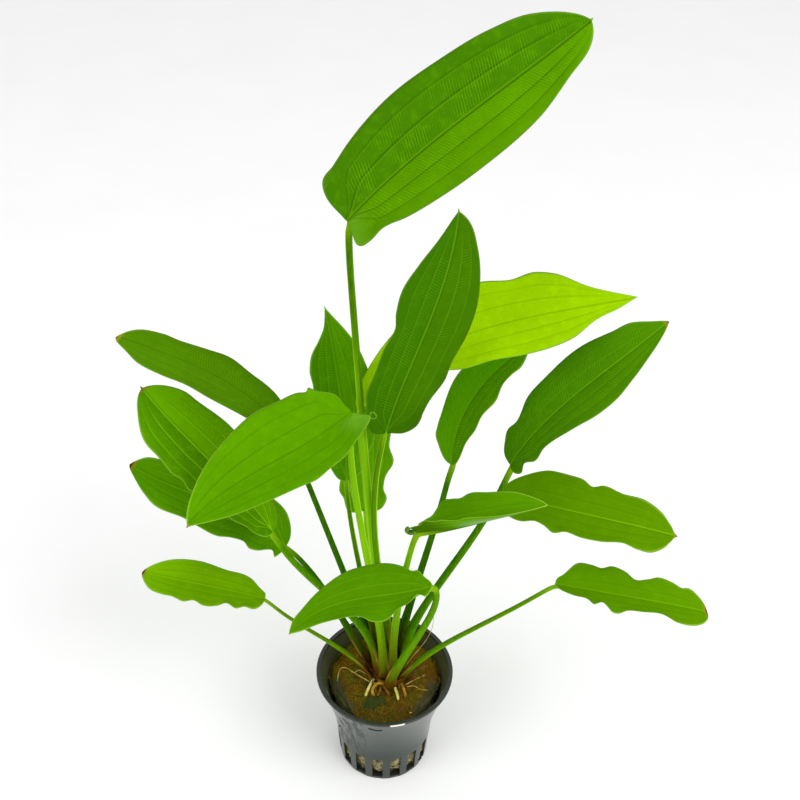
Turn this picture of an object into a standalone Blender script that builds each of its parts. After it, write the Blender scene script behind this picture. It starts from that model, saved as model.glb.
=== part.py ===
"""A potted echinodorus: sixteen leaves on their stalks, the crown they grow from, its first
roots, the mineral wool plug and the slotted nursery pot.

Metres, +Z up. The origin is the middle of the pot's foot, on the surface that it stands on.
The leaves are laid out around the pot by plain sizes in millimetres: +X is right, +Y is back.
"""
import math
from dataclasses import dataclass

import bmesh
import bpy
from mathutils import Vector

MM = 0.001
GAP = 0.3 * MM

# Pot: a thin moulded cup whose wall flares out to the lip, 55 mm wide and 49 mm high.
POT_HEIGHT = 49 * MM
LIP_RADIUS = 27.5 * MM
LIP_WIDTH = 1.7 * MM
LIP_DEPTH = 1.0 * MM
FOOT_RADIUS = 18.4 * MM
WAIST_RADIUS = 19.6 * MM
WAIST_HEIGHT = 16 * MM
FLARE_POWER = 1.55
WALL = 0.9 * MM
FLOOR = 1.2 * MM
WALL_RINGS = [FLOOR, WAIST_HEIGHT, 24 * MM, 32 * MM, 38 * MM, 43.5 * MM, POT_HEIGHT - 1.6 * MM]
POT_SIDES = 48

# Slots: sixteen in the lower wall, which start at the floor.
SLOT_COUNT = 16
SLOT_WIDTH = 4.3 * MM
SLOT_HEIGHT = 14.5 * MM
SLOT_START = math.radians(-73.6)

# Plug of mineral wool: fills the cup, and is lower and narrower at two places in front.
PLUG_BOTTOM = FLOOR + GAP
PLUG_TOP = 42.5 * MM
PLUG_CLEARANCE = 0.9 * MM
PLUG_SIDES = 28
PLUG_RINGS = 12
PLUG_DENTS = [(-148, 5.2 * MM), (-34, 5.2 * MM)]

# Crown: the short rootstock that all the stalks grow from.
CROWN_CENTRE = Vector((1.0 * MM, 1.5 * MM, 0))
CROWN_RADIUS = 8.6 * MM
CROWN_SLOPE = 0.6 * MM
CROWN_BOTTOM = PLUG_TOP + GAP
CROWN_TOP = 45.0 * MM
INNER_RING = 3.8 * MM
OUTER_RING = 7.6 * MM

# Leaves: a blade is one thin sheet, and its stalk is a tapered rod.
BLADE_THICKNESS = 0.6 * MM
BLADE_ROWS = 10
BLADE_COLUMNS = 6
STALK_TOP_RADIUS = 0.9 * MM
STALK_POINTS = 11
STALK_BEVEL = 1
JOINT_GAP = 0.9 * MM
UPRIGHT_FOOT = 1.5 * MM


@dataclass
class Leaf:
    """One leaf, in millimetres and degrees.

    base and tip are the two ends of the blade's midrib. width is the widest place, at the
    fraction belly of the length; full rounds the base and point sharpens the tip. lobe is how
    far the lower corners reach back past the joint. roll turns the blade about its length from
    level, and twist is how much it turns on from base to tip. arch and sway bow the midrib
    towards the upper side and towards the right-hand margin, at one and two thirds of its
    length. fold lifts the left and right halves. ring and around place the stalk's foot on the
    crown, foot is its radius there, and rise and reach are the two handles of its curve.
    """
    name: str
    base: tuple
    tip: tuple
    width: float
    belly: float
    full: float
    point: float
    lobe: float
    roll: float
    twist: float
    arch: tuple
    sway: tuple
    fold: tuple
    ring: float
    around: float
    foot: float
    rise: tuple
    reach: tuple
    colour: tuple


DARK = (0.045, 0.185, 0.012)
MID = (0.080, 0.260, 0.012)
LIGHT = (0.125, 0.360, 0.012)
YELLOW = (0.330, 0.640, 0.012)

LEAVES = [
    Leaf("top", base=(-14, 8, 249), tip=(56, 36, 302), width=39, belly=0.45, full=0.35, point=0.7,
         lobe=5, roll=-31, twist=-17, arch=(5, 0), sway=(-2.5, 0), fold=(18, 17),
         ring=0, around=0, foot=1.4, rise=(-5, 2, 105), reach=(-10, 3, 188), colour=MID),
    Leaf("upright", base=(-1, 1, 172), tip=(20, 16, 249), width=30, belly=0.6, full=0.35,
         point=0.85, lobe=3.5, roll=-81, twist=-9, arch=(5, 4), sway=(-5, 5), fold=(8, 8),
         ring=INNER_RING, around=15, foot=1.4, rise=(1, 2, 80), reach=(-9, -1, 134), colour=DARK),
    Leaf("yellow", base=(-12, 23, 165), tip=(84, 38, 205), width=38, belly=0.5, full=0.55,
         point=1.15, lobe=2, roll=-10, twist=-28, arch=(19, 7), sway=(-7, -3), fold=(10, 10),
         ring=INNER_RING, around=122, foot=1.4, rise=(-4, 14, 80), reach=(-8, 18, 131),
         colour=YELLOW),
    Leaf("back_left", base=(-16, 24, 129), tip=(-23, 41, 194), width=25, belly=0.45, full=0.6,
         point=1.05, lobe=2, roll=-1, twist=-11, arch=(3, 2), sway=(2, 1), fold=(9, 9),
         ring=INNER_RING, around=175, foot=1.4, rise=(-4, 6, 71), reach=(-15, 17, 104),
         colour=DARK),
    Leaf("back", base=(-9, 34, 104), tip=(-15, 52, 165), width=21, belly=0.4, full=0.4,
         point=0.85, lobe=4, roll=9, twist=-9, arch=(5, 4), sway=(-2, 6), fold=(10, 10),
         ring=INNER_RING, around=70, foot=1.4, rise=(2, 12, 64), reach=(-8, 26, 86), colour=MID),
    Leaf("front_left", base=(-12, -7, 187), tip=(-64, -31, 157), width=36, belly=0.3, full=0.4,
         point=0.9, lobe=5, roll=13, twist=10, arch=(6, 6), sway=(-7, 3), fold=(21, 19),
         ring=INNER_RING, around=240, foot=1.4, rise=(2, -14, 90), reach=(-17, 2, 151),
         colour=LIGHT),
    Leaf("folded", base=(10.4, -15, 142), tip=(52, -25, 165), width=25, belly=0.35, full=0.55,
         point=0.75, lobe=3, roll=12, twist=-28, arch=(0, -1), sway=(4, 0), fold=(36, 38),
         ring=INNER_RING, around=315, foot=1.4, rise=(2, -7, 73), reach=(5, -11, 112), colour=MID),
    Leaf("far_left", base=(-34, 3, 167), tip=(-95, 26, 191), width=28, belly=0.4, full=0.55,
         point=0.65, lobe=2, roll=-12, twist=17, arch=(10, 4), sway=(2, 2), fold=(0, 3),
         ring=OUTER_RING, around=112, foot=1.6, rise=(-14, 13, 78), reach=(-22, -2, 131),
         colour=DARK),
    Leaf("left_upper", base=(-42, 3, 122), tip=(-87, 22, 172), width=30, belly=0.55, full=0.5,
         point=0.6, lobe=2, roll=9, twist=22, arch=(6, 0), sway=(0, -2), fold=(9, 9),
         ring=6.6 * MM, around=222, foot=1.6, rise=(0, 4, 76), reach=(-34, -2, 99), colour=MID),
    Leaf("left_lower", base=(-39, 14, 103), tip=(-96, 21, 137), width=27, belly=0.45, full=0.5,
         point=0.7, lobe=2.5, roll=20, twist=6, arch=(10, 1), sway=(5, -3), fold=(9, 10),
         ring=OUTER_RING, around=150, foot=1.6, rise=(-16, 7, 63), reach=(-24, 12, 88),
         colour=DARK),
    Leaf("left_small", base=(-46, -1, 90), tip=(-95, 11, 90), width=18.5, belly=0.45, full=0.5,
         point=0.7, lobe=2.5, roll=11, twist=12, arch=(5, 7), sway=(-2, -4), fold=(12, 11),
         ring=OUTER_RING, around=190, foot=1.5, rise=(-13, 0, 62), reach=(-34, -5, 77),
         colour=LIGHT),
    Leaf("front", base=(16, -31, 132), tip=(-32, -35, 110), width=25, belly=0.4, full=0.75,
         point=0.85, lobe=0, roll=-4, twist=-9, arch=(-2, 8), sway=(3, 6), fold=(13, 14),
         ring=OUTER_RING, around=-80, foot=1.7, rise=(4, -13, 72), reach=(24, -19, 109),
         colour=MID),
    Leaf("right_upper", base=(43, 9, 152), tip=(93, 26, 203), width=31, belly=0.45, full=0.4,
         point=0.85, lobe=3.5, roll=1, twist=-19, arch=(8, -1), sway=(-1, -2), fold=(12, 11),
         ring=OUTER_RING, around=-6, foot=1.7, rise=(1, 1, 77), reach=(38, 3, 121), colour=DARK),
    Leaf("right_back", base=(23, 22, 140), tip=(50, 41, 182), width=22, belly=0.45, full=0.55,
         point=0.8, lobe=2, roll=4, twist=-4, arch=(8, 9), sway=(-6, -3), fold=(11, 10),
         ring=OUTER_RING, around=66, foot=1.6, rise=(9, 16, 73), reach=(19, 16, 112), colour=DARK),
    Leaf("right_middle", base=(41, 15, 133), tip=(105, 3, 125), width=28, belly=0.25, full=0.55,
         point=0.5, lobe=2, roll=-9, twist=-21, arch=(7, 6), sway=(7, 4), fold=(10, 12),
         ring=OUTER_RING, around=30, foot=1.6, rise=(3, 6, 68), reach=(31, 8, 105), colour=MID),
    Leaf("right_low", base=(61, -12, 114), tip=(120, -11, 100), width=22, belly=0.3, full=0.55,
         point=0.5, lobe=2, roll=0, twist=-22, arch=(3, 9), sway=(3, 8), fold=(13, 15),
         ring=OUTER_RING, around=-42, foot=1.6, rise=(12, -7, 71), reach=(42, -14, 95),
         colour=MID),
]

# Roots that show on the plug in front of the crown: name, radius, points, colour.
WHITE = (0.72, 0.74, 0.42)
AMBER = (0.60, 0.36, 0.05)
BROWN = (0.20, 0.09, 0.02)
ROOTS = [
    ("root_white_left", 0.9, [(-5.4, -5.0, 45.8), (-6.6, -7.6, 44.6), (-7.4, -9.8, 43.9)], WHITE),
    ("root_white_right", 0.9, [(4.8, -8.2, 45.4), (5.4, -10.2, 44.3), (5.9, -11.8, 43.9)], WHITE),
    ("root_loop", 0.8, [(-0.6, -6.8, 45.9), (-2.4, -7.4, 45.9), (-4.0, -8.4, 45.0),
                        (-4.2, -10.0, 43.8)], AMBER),
    ("root_brown_right", 0.7, [(8.0, -6.9, 44.6), (8.5, -8.8, 44.2), (8.9, -10.6, 43.7)], BROWN),
]


def clear_scene():
    for obj in list(bpy.data.objects):
        bpy.data.objects.remove(obj, do_unlink=True)


def make_collection(name):
    collection = bpy.data.collections.new(name)
    bpy.context.scene.collection.children.link(collection)
    return collection


def make_material(name, colour, roughness):
    material = bpy.data.materials.new(name)
    material.use_nodes = True
    shader = material.node_tree.nodes["Principled BSDF"]
    shader.inputs["Base Color"].default_value = (*colour, 1)
    shader.inputs["Roughness"].default_value = roughness
    shader.inputs["Metallic"].default_value = 0.0
    return material


def add_object(name, data, collection, material=None):
    obj = bpy.data.objects.new(name, data)
    collection.objects.link(obj)
    if material:
        obj.data.materials.append(material)
    return obj


def mesh_from_bmesh(name, bm):
    bmesh.ops.recalc_face_normals(bm, faces=bm.faces)
    mesh = bpy.data.meshes.new(name)
    bm.to_mesh(mesh)
    bm.free()
    return mesh


def smooth(mesh, degrees):
    mesh.shade_smooth()
    mesh.set_sharp_from_angle(angle=math.radians(degrees))


def outer_radius(height):
    """The pot wall's outer radius: nearly upright to the waist, then flaring out to the lip."""
    if height <= WAIST_HEIGHT:
        return FOOT_RADIUS + (WAIST_RADIUS - FOOT_RADIUS) * height / WAIST_HEIGHT
    rise = (height - WAIST_HEIGHT) / (POT_HEIGHT - WAIST_HEIGHT)
    return WAIST_RADIUS + (LIP_RADIUS - WAIST_RADIUS) * rise ** FLARE_POWER


def pot_profile():
    """Outer side from the lip down to the foot, then the inside from the floor up."""
    outer = [(outer_radius(z), z) for z in reversed(WALL_RINGS[1:])]
    inner = [(outer_radius(z) - WALL, z) for z in WALL_RINGS[:-1]]
    lip_outer = [(LIP_RADIUS, POT_HEIGHT), (LIP_RADIUS, POT_HEIGHT - LIP_DEPTH)]
    foot = [(FOOT_RADIUS, 0), (0, 0), (0, FLOOR)]
    lip_inner = [(LIP_RADIUS - LIP_WIDTH, POT_HEIGHT - LIP_DEPTH), (LIP_RADIUS - LIP_WIDTH, POT_HEIGHT)]
    return lip_outer + outer + foot + inner + lip_inner


def build_slot_cutters(cutters):
    """Sixteen boxes that stand on the floor around the pot and reach through the wall."""
    bm = bmesh.new()
    inner_radius = FOOT_RADIUS - 3 * WALL
    depth = outer_radius(SLOT_HEIGHT) + WALL - inner_radius
    height = SLOT_HEIGHT - FLOOR
    for index in range(SLOT_COUNT):
        angle = SLOT_START + index * 2 * math.pi / SLOT_COUNT
        box = bmesh.ops.create_cube(bm, size=1)["verts"]
        bmesh.ops.scale(bm, vec=(depth, SLOT_WIDTH, height), verts=box)
        middle = Vector((inner_radius + depth / 2, 0, FLOOR + height / 2))
        bmesh.ops.translate(bm, vec=middle, verts=box)
        for vert in box:
            x, y = vert.co.x, vert.co.y
            vert.co.x = x * math.cos(angle) - y * math.sin(angle)
            vert.co.y = x * math.sin(angle) + y * math.cos(angle)
    cutter = add_object("slot_cutters", mesh_from_bmesh("slot_cutters", bm), cutters)
    cutter.hide_render = True
    cutter.display_type = 'WIRE'
    return cutter


def build_pot(parts, cutters):
    """The cup: a turned profile, closed by Screw, with the slots cut through it."""
    bm = bmesh.new()
    points = pot_profile()
    verts = [bm.verts.new((r, 0, z)) for r, z in points]
    for first, second in zip(verts, verts[1:] + verts[:1]):
        if first.co.x > 0 or second.co.x > 0:
            bm.edges.new((first, second))
    mesh = bpy.data.meshes.new("pot")
    bm.to_mesh(mesh)
    bm.free()
    material = make_material("pot plastic", (0.012, 0.016, 0.013), 0.28)
    pot = add_object("pot", mesh, parts, material)
    turn = pot.modifiers.new("turn", 'SCREW')
    turn.axis = 'Z'
    turn.steps = turn.render_steps = POT_SIDES
    turn.use_merge_vertices = True
    turn.merge_threshold = 0.00001
    cut = pot.modifiers.new("slots", 'BOOLEAN')
    cut.operation = 'DIFFERENCE'
    cut.solver = 'EXACT'
    cut.object = build_slot_cutters(cutters)
    return pot


def plug_radius(height, azimuth):
    """The plug follows the wall, and draws in towards its top where it has shrunk away."""
    radius = outer_radius(height) - WALL - PLUG_CLEARANCE
    for centre, depth in PLUG_DENTS:
        away = math.radians(centre) - azimuth
        away = math.atan2(math.sin(away), math.cos(away))
        radius -= depth * math.exp(-(away / 0.5) ** 2) * min(1.0, height / PLUG_TOP) ** 2
    return radius


def build_plug(parts):
    """Mineral wool: a ball primitive drawn out to the plug's side, shoulder and flat ends."""
    bm = bmesh.new()
    bmesh.ops.create_uvsphere(bm, u_segments=PLUG_SIDES, v_segments=PLUG_RINGS, radius=1)
    shoulder = PLUG_TOP - 2.5 * MM
    for vert in bm.verts:
        azimuth = math.atan2(vert.co.y, vert.co.x)
        along = 1 - math.acos(max(-1.0, min(1.0, vert.co.z))) / math.pi
        if along < 0.2:
            height = PLUG_BOTTOM
            radius = (plug_radius(height, azimuth) - 3.5 * MM) * along / 0.2
        elif along <= 0.7:
            height = PLUG_BOTTOM + (shoulder - PLUG_BOTTOM) * max(0.0, along - 0.22) / 0.48
            taper = 3.5 * MM * max(0.0, 1 - (height - PLUG_BOTTOM) / (6 * MM))
            radius = plug_radius(height, azimuth) - taper
        else:
            top = (along - 0.7) / 0.3
            height = shoulder + (PLUG_TOP - shoulder) * math.sin(math.pi / 2 * min(1, 2.2 * top))
            radius = plug_radius(height, azimuth) * (1 - top ** 1.4)
        vert.co = Vector((radius * math.cos(azimuth), radius * math.sin(azimuth), height))
    bmesh.ops.remove_doubles(bm, verts=bm.verts, dist=0.00001)
    material = make_material("mineral wool", (0.110, 0.075, 0.018), 0.95)
    plug = add_object("plug", mesh_from_bmesh("plug", bm), parts, material)
    smooth(plug.data, 60)
    return plug


def build_crown(parts):
    """The rootstock: a low stump with a flat top for the stalks and a rounded edge."""
    bm = bmesh.new()
    depth = CROWN_TOP - GAP - CROWN_BOTTOM
    bmesh.ops.create_cone(bm, cap_ends=True, segments=20, radius1=CROWN_RADIUS + CROWN_SLOPE,
                          radius2=CROWN_RADIUS, depth=depth)
    mesh = mesh_from_bmesh("crown", bm)
    crown = add_object("crown", mesh, parts, make_material("rootstock", (0.170, 0.085, 0.02), 0.8))
    crown.location = CROWN_CENTRE + Vector((0, 0, CROWN_BOTTOM + depth / 2))
    return crown


def bezier(points, t):
    a, b, c, d = points
    return a * (1 - t) ** 3 + b * 3 * t * (1 - t) ** 2 + c * 3 * t * t * (1 - t) + d * t ** 3


def bezier_slope(points, t):
    a, b, c, d = points
    return (b - a) * (1 - t) ** 2 + (c - b) * 2 * t * (1 - t) + (d - c) * t * t


def rounding(t, belly, full, point):
    """The blade's half width along its length, from 0 at both ends to 1 at the belly."""
    if t < belly:
        return (1 - (1 - t / belly) ** 2) ** full
    return max(0.0, 1 - ((t - belly) / (1 - belly)) ** 2) ** point


def blade_frame(leaf):
    """The midrib's four curve points, with the level-rolled side and face directions."""
    base, tip = Vector(leaf.base) * MM, Vector(leaf.tip) * MM
    chord = tip - base
    along = chord.normalized()
    level = along.cross(Vector((0, 0, 1))).normalized()
    up = level.cross(along)
    roll = math.radians(leaf.roll)
    side = level * math.cos(roll) + up * math.sin(roll)
    face = side.cross(along)
    handles = [base + chord / 3 + (face * leaf.arch[0] + side * leaf.sway[0]) * MM,
               base + chord * 2 / 3 + (face * leaf.arch[1] + side * leaf.sway[1]) * MM]
    return [base, *handles, tip], side, face


def blade_point(leaf, frame, t, across):
    """A point of the blade: t runs from the joint to the tip, across from -1 to 1."""
    midrib, side, face = frame
    forward = bezier_slope(midrib, t).normalized()
    turn = math.radians(leaf.twist) * (t - 0.5)
    outward = side * math.cos(turn) + face * math.sin(turn)
    outward = (outward - forward * outward.dot(forward)).normalized()
    lift = outward.cross(forward)
    half = leaf.width / 2 * MM * rounding(t, leaf.belly, leaf.full, leaf.point)
    fold = math.radians(leaf.fold[0] if across < 0 else leaf.fold[1])
    bend = math.sqrt(across * across + 0.01) - 0.1
    back = 0.0
    if t < leaf.belly:
        near = 1 - t / leaf.belly
        back = leaf.lobe * MM * rounding(t, leaf.belly, leaf.full, 1) * near ** 1.5 * across ** 2
    return (bezier(midrib, t) + outward * half * across * math.cos(fold)
            + lift * half * bend * math.sin(fold) - forward * back)


def build_blade(leaf, parts):
    """A blade: a grid drawn to the leaf's outline and curve, given its thickness by Solidify."""
    bm = bmesh.new()
    bmesh.ops.create_grid(bm, x_segments=BLADE_ROWS, y_segments=BLADE_COLUMNS, size=0.5)
    frame = blade_frame(leaf)
    for vert in bm.verts:
        t = (1 - math.cos(math.pi * (vert.co.x + 0.5))) / 2
        vert.co = blade_point(leaf, frame, t, 2 * vert.co.y)
    bmesh.ops.remove_doubles(bm, verts=bm.verts, dist=0.00001)
    name = "leaf_" + leaf.name
    material = make_material(name, leaf.colour, 0.45)
    blade = add_object(name, mesh_from_bmesh(name, bm), parts, material)
    blade.data.shade_smooth()
    shell = blade.modifiers.new("thickness", 'SOLIDIFY')
    shell.thickness = BLADE_THICKNESS
    shell.offset = 0
    return blade


def build_rod(name, points, radii, bevel, parts, material):
    """A tapered rod along a poly spline: the thickest place sets the bevel depth."""
    curve = bpy.data.curves.new(name, 'CURVE')
    curve.dimensions = '3D'
    curve.bevel_depth = max(radii)
    curve.bevel_resolution = bevel
    curve.use_fill_caps = True
    spline = curve.splines.new('POLY')
    spline.points.add(len(points) - 1)
    for target, place, radius in zip(spline.points, points, radii):
        target.co = (*place, 1)
        target.radius = radius / curve.bevel_depth
    return add_object(name, curve, parts, material)


def build_stalk(leaf, parts):
    """A stalk rises from the crown, thick at its foot, and ends just short of the blade."""
    angle = math.radians(leaf.around)
    foot = CROWN_CENTRE + Vector((leaf.ring * math.cos(angle), leaf.ring * math.sin(angle), CROWN_TOP))
    start = foot + Vector((0, 0, UPRIGHT_FOOT))
    path = [start, Vector(leaf.rise) * MM, Vector(leaf.reach) * MM, Vector(leaf.base) * MM]
    points, radii = [foot], [leaf.foot * MM]
    for index in range(STALK_POINTS):
        t = index / (STALK_POINTS - 1)
        points.append(bezier(path, t))
        thin = min(1.0, 2 * t)
        radii.append(leaf.foot * MM * (1 - thin) + STALK_TOP_RADIUS * thin)
    points[-1] -= bezier_slope(path, 1).normalized() * JOINT_GAP
    name = "stalk_" + leaf.name
    return build_rod(name, points, radii, STALK_BEVEL, parts, make_material(name, LIGHT, 0.4))


def build_roots(parts):
    """The short new roots and the brown old one, which lie on the plug before the crown."""
    for name, radius, route, colour in ROOTS:
        points = [Vector(place) * MM for place in route]
        radii = [radius * MM] * (len(points) - 1) + [0.6 * radius * MM]
        build_rod(name, points, radii, 1, parts, make_material(name, colour, 0.5))


def main():
    clear_scene()
    parts = make_collection("potted echinodorus")
    cutters = make_collection("cutters")
    build_pot(parts, cutters)
    build_plug(parts)
    build_crown(parts)
    build_roots(parts)
    for leaf in LEAVES:
        build_stalk(leaf, parts)
        build_blade(leaf, parts)


main()
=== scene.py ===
"""Potted echinodorus: the finished plant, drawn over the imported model.

Sizes are in millimetres and angles in degrees, and each mesh is scaled to metres as it is built.
+X is right, +Y is back and +Z is up, from the middle of the pot's foot.
"""
import math
from dataclasses import dataclass

import bmesh
import bpy
import numpy as np
from mathutils import Matrix, Vector, noise


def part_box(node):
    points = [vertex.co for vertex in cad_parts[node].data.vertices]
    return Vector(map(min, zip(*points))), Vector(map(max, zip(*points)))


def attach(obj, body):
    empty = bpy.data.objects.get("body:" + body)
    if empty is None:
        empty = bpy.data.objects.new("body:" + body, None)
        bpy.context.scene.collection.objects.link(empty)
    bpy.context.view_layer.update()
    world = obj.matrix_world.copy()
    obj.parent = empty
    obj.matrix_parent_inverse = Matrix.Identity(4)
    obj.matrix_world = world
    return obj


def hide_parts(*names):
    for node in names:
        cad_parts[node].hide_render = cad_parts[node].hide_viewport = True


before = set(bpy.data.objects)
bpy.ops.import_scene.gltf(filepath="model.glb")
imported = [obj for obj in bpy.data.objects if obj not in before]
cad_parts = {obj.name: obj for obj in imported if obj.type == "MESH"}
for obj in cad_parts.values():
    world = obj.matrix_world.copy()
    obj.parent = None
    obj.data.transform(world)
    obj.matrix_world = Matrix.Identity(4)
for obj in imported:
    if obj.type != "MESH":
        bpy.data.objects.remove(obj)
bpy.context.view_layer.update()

# POT
# One thin cup of black plastic, moulded in one shot: a flat lip on a wall that flares out to it,
# and sixteen slots left by the mould's fingers, which run through the foot into the floor. The
# outside is dulled by dust and by rubbing against its neighbours, in streaks on the left.
MM = 0.001
pot_low, pot_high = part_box("pot")
LIP_RADIUS = (pot_high.x - pot_low.x) / 2 / MM
POT_HEIGHT = pot_high.z / MM
LIP_WIDTH = 1.8
LIP_DEPTH = 1.1
LIP_EDGE = 0.35
LIP_UNDER_EDGE = 0.2
WALL = 0.9
FLOOR = 1.2
FOOT_RADIUS = 18.4
FOOT_EDGE = 0.4
WAIST_RADIUS = 19.6
WAIST_HEIGHT = 16.0
FLARE_POWER = 1.55
WALL_START = 2
WALL_STEPS = 26
POT_SIDES = 160
SHARP_ANGLE = 38
SLOTS = 16
SLOT_START = -73.6
SLOT_WIDTH = 4.3
SLOT_HEIGHT = 14.5
SLOT_EDGE = 0.4
SLOT_BACK = FOOT_RADIUS - 3 * WALL
FLOOR_RECESS = 0.25
CUT_DEPTH = 6
CUT_OVERLAP = 0.3
# The height below which the inner front wall is painted lighter still, as painted light.
PAINTED_FILL_TOP = 43.5
# Across the front: the middle and half the width of the painted highlight on the lip's outer face.
GLINT_PLACE = 5.7
GLINT_HALF = 3.2


class Field:
    """One value in a material. Arithmetic on it adds the Math nodes that work it out."""

    def __init__(self, paint, socket):
        self.paint = paint
        self.socket = socket

    def math(self, operation, *terms):
        return self.paint.node("Math", {"operation": operation}, dict(enumerate(terms)))

    def __add__(self, other):
        return self.math("ADD", self, other)

    def __radd__(self, other):
        return self.math("ADD", other, self)

    def __sub__(self, other):
        return self.math("SUBTRACT", self, other)

    def __rsub__(self, other):
        return self.math("SUBTRACT", other, self)

    def __mul__(self, other):
        return self.math("MULTIPLY", self, other)

    def __rmul__(self, other):
        return self.math("MULTIPLY", other, self)

    def __abs__(self):
        return self.math("ABSOLUTE", self)

    def or_more(self, other):
        """The larger of the two."""
        return self.math("MAXIMUM", self, other)


class Paint:
    """A material as it is mixed. node() adds any node and gives one of its outputs."""

    def __init__(self, name):
        self.material = bpy.data.materials.new(name)
        self.material.use_nodes = True
        self.tree = self.material.node_tree
        self.tree.nodes.clear()

    def node(self, kind, settings=None, inputs=None, output=0):
        node = self.tree.nodes.new("ShaderNode" + kind)
        for key, value in (settings or {}).items():
            setattr(node, key, value)
        for key, value in (inputs or {}).items():
            if isinstance(value, Field):
                self.tree.links.new(value.socket, node.inputs[key])
            else:
                node.inputs[key].default_value = value
        return Field(self, node.outputs[output]) if node.outputs else node

    def mix(self, share, first, second):
        """The first colour where share is 0, the second where it is 1."""
        return self.node("Mix", {"data_type": "RGBA"}, {0: share, 6: first, 7: second}, 2)

    def ramp(self, value, low, high):
        """A soft step: 0 below low and 1 above high, or the other way round where low is higher."""
        inputs = {"Value": value, "From Min": low, "From Max": high}
        return self.node("MapRange", {"interpolation_type": "SMOOTHSTEP"}, inputs)

    def place(self):
        """Where a point is, in millimetres."""
        spot = self.node("TexCoord", output="Object")
        return self.node("VectorMath", {"operation": "SCALE"}, {0: spot, "Scale": 1 / MM})

    def part_of(self, spot, axis):
        return self.node("SeparateXYZ", inputs={"Vector": spot}, output=axis)

    def vector(self, operation, *terms):
        """Arithmetic on vectors. A length, a distance or a product of two is a plain number."""
        number = operation in ("LENGTH", "DISTANCE", "DOT_PRODUCT")
        terms = dict(enumerate(terms))
        return self.node("VectorMath", {"operation": operation}, terms, "Value" if number else 0)

    def stretched(self, spot, x, y, z):
        return self.vector("MULTIPLY", spot, (x, y, z))

    def noise(self, spot, size, detail=3.0, rough=0.5):
        """Cloudy noise about 0.5, with blotches of about the given size in millimetres."""
        inputs = {"Vector": spot, "Scale": 1 / size, "Detail": detail, "Roughness": rough}
        return self.node("TexNoise", inputs=inputs)

    def tagged(self, name):
        """A number that the mesh carries at each of its points."""
        return self.node("Attribute", {"attribute_name": name}, output="Fac")

    def finish(self, colour, rough, relief=None, depth=0.0, gloss=0.5, glow=None, share=0.0):
        """The surface itself. relief stands out by depth, in millimetres, gloss is how much light
        it mirrors, and glow is the colour of the light that a share of it lets through."""
        inputs = {"Base Color": colour, "Roughness": rough, "Specular IOR Level": gloss}
        if relief is not None:
            inputs["Normal"] = self.node("Bump", inputs={"Height": relief, "Distance": depth * MM})
        surface = self.node("BsdfPrincipled", inputs=inputs)
        if glow:
            through = self.node("BsdfTranslucent", inputs={"Color": glow})
            surface = self.node("MixShader", inputs={0: share, 1: surface, 2: through})
        self.node("OutputMaterial", inputs={"Surface": surface})
        return self.material


def rgb(red, green, blue):
    """A colour as a screen shows it, 0 to 255, made linear for a shader."""
    parts = [value / 255 for value in (red, green, blue)]
    linear = [p / 12.92 if p < 0.04045 else ((p + 0.055) / 1.055) ** 2.4 for p in parts]
    return (*linear, 1.0)


def wall_radius(height):
    """The wall's outer radius: nearly upright along the slots, then flaring out to the lip."""
    lower = FOOT_RADIUS + (WAIST_RADIUS - FOOT_RADIUS) * np.minimum(height / WAIST_HEIGHT, 1)
    rise = np.clip((height - WAIST_HEIGHT) / (POT_HEIGHT - WAIST_HEIGHT), 0, 1)
    return lower + (LIP_RADIUS - WAIST_RADIUS) * rise ** FLARE_POWER


def arc(radius, height, size, start, end, steps=5):
    """A rounded edge of the pot's outline, centred at a radius and a height."""
    turns = np.radians(np.linspace(start, end, steps))
    return [(radius + size * math.cos(turn), height + size * math.sin(turn)) for turn in turns]


def pot_outline():
    """Down the outer side from the lip's top, across the foot, then up the inner side."""
    under_lip = POT_HEIGHT - LIP_DEPTH
    inner_edge = LIP_RADIUS - LIP_WIDTH
    outline = arc(LIP_RADIUS - LIP_EDGE, POT_HEIGHT - LIP_EDGE, LIP_EDGE, 90, 0)
    outline += arc(LIP_RADIUS - LIP_UNDER_EDGE, under_lip + LIP_UNDER_EDGE, LIP_UNDER_EDGE, 0, -90, 3)
    outline += [(float(wall_radius(z)), z) for z in np.linspace(under_lip, WALL_START, WALL_STEPS)]
    outline += arc(FOOT_RADIUS - FOOT_EDGE, FOOT_EDGE, FOOT_EDGE, 0, -90)
    outline += [(0, 0), (0, FLOOR)]
    outline += [(float(wall_radius(z)) - WALL, z) for z in np.linspace(FLOOR, under_lip, WALL_STEPS)]
    outline += [(inner_edge, under_lip + LIP_UNDER_EDGE)]
    outline += arc(inner_edge + LIP_EDGE, POT_HEIGHT - LIP_EDGE, LIP_EDGE, 180, 90)
    return outline


def link(name, mesh):
    piece = bpy.data.objects.new(name, mesh)
    bpy.context.scene.collection.objects.link(piece)
    return piece


def settled(piece):
    """The piece with its modifiers made part of its mesh."""
    evaluated = piece.evaluated_get(bpy.context.evaluated_depsgraph_get())
    mesh = bpy.data.meshes.new_from_object(evaluated)
    piece.modifiers.clear()
    piece.data = mesh
    return piece


def fit(piece, material, slot, *nodes):
    """Finishes a piece, fixes it to the plant and has it stand for its nodes of the model."""
    piece.data.materials.clear()
    piece.data.materials.append(material)
    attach(piece, "root")
    if nodes:
        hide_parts(*nodes)


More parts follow.
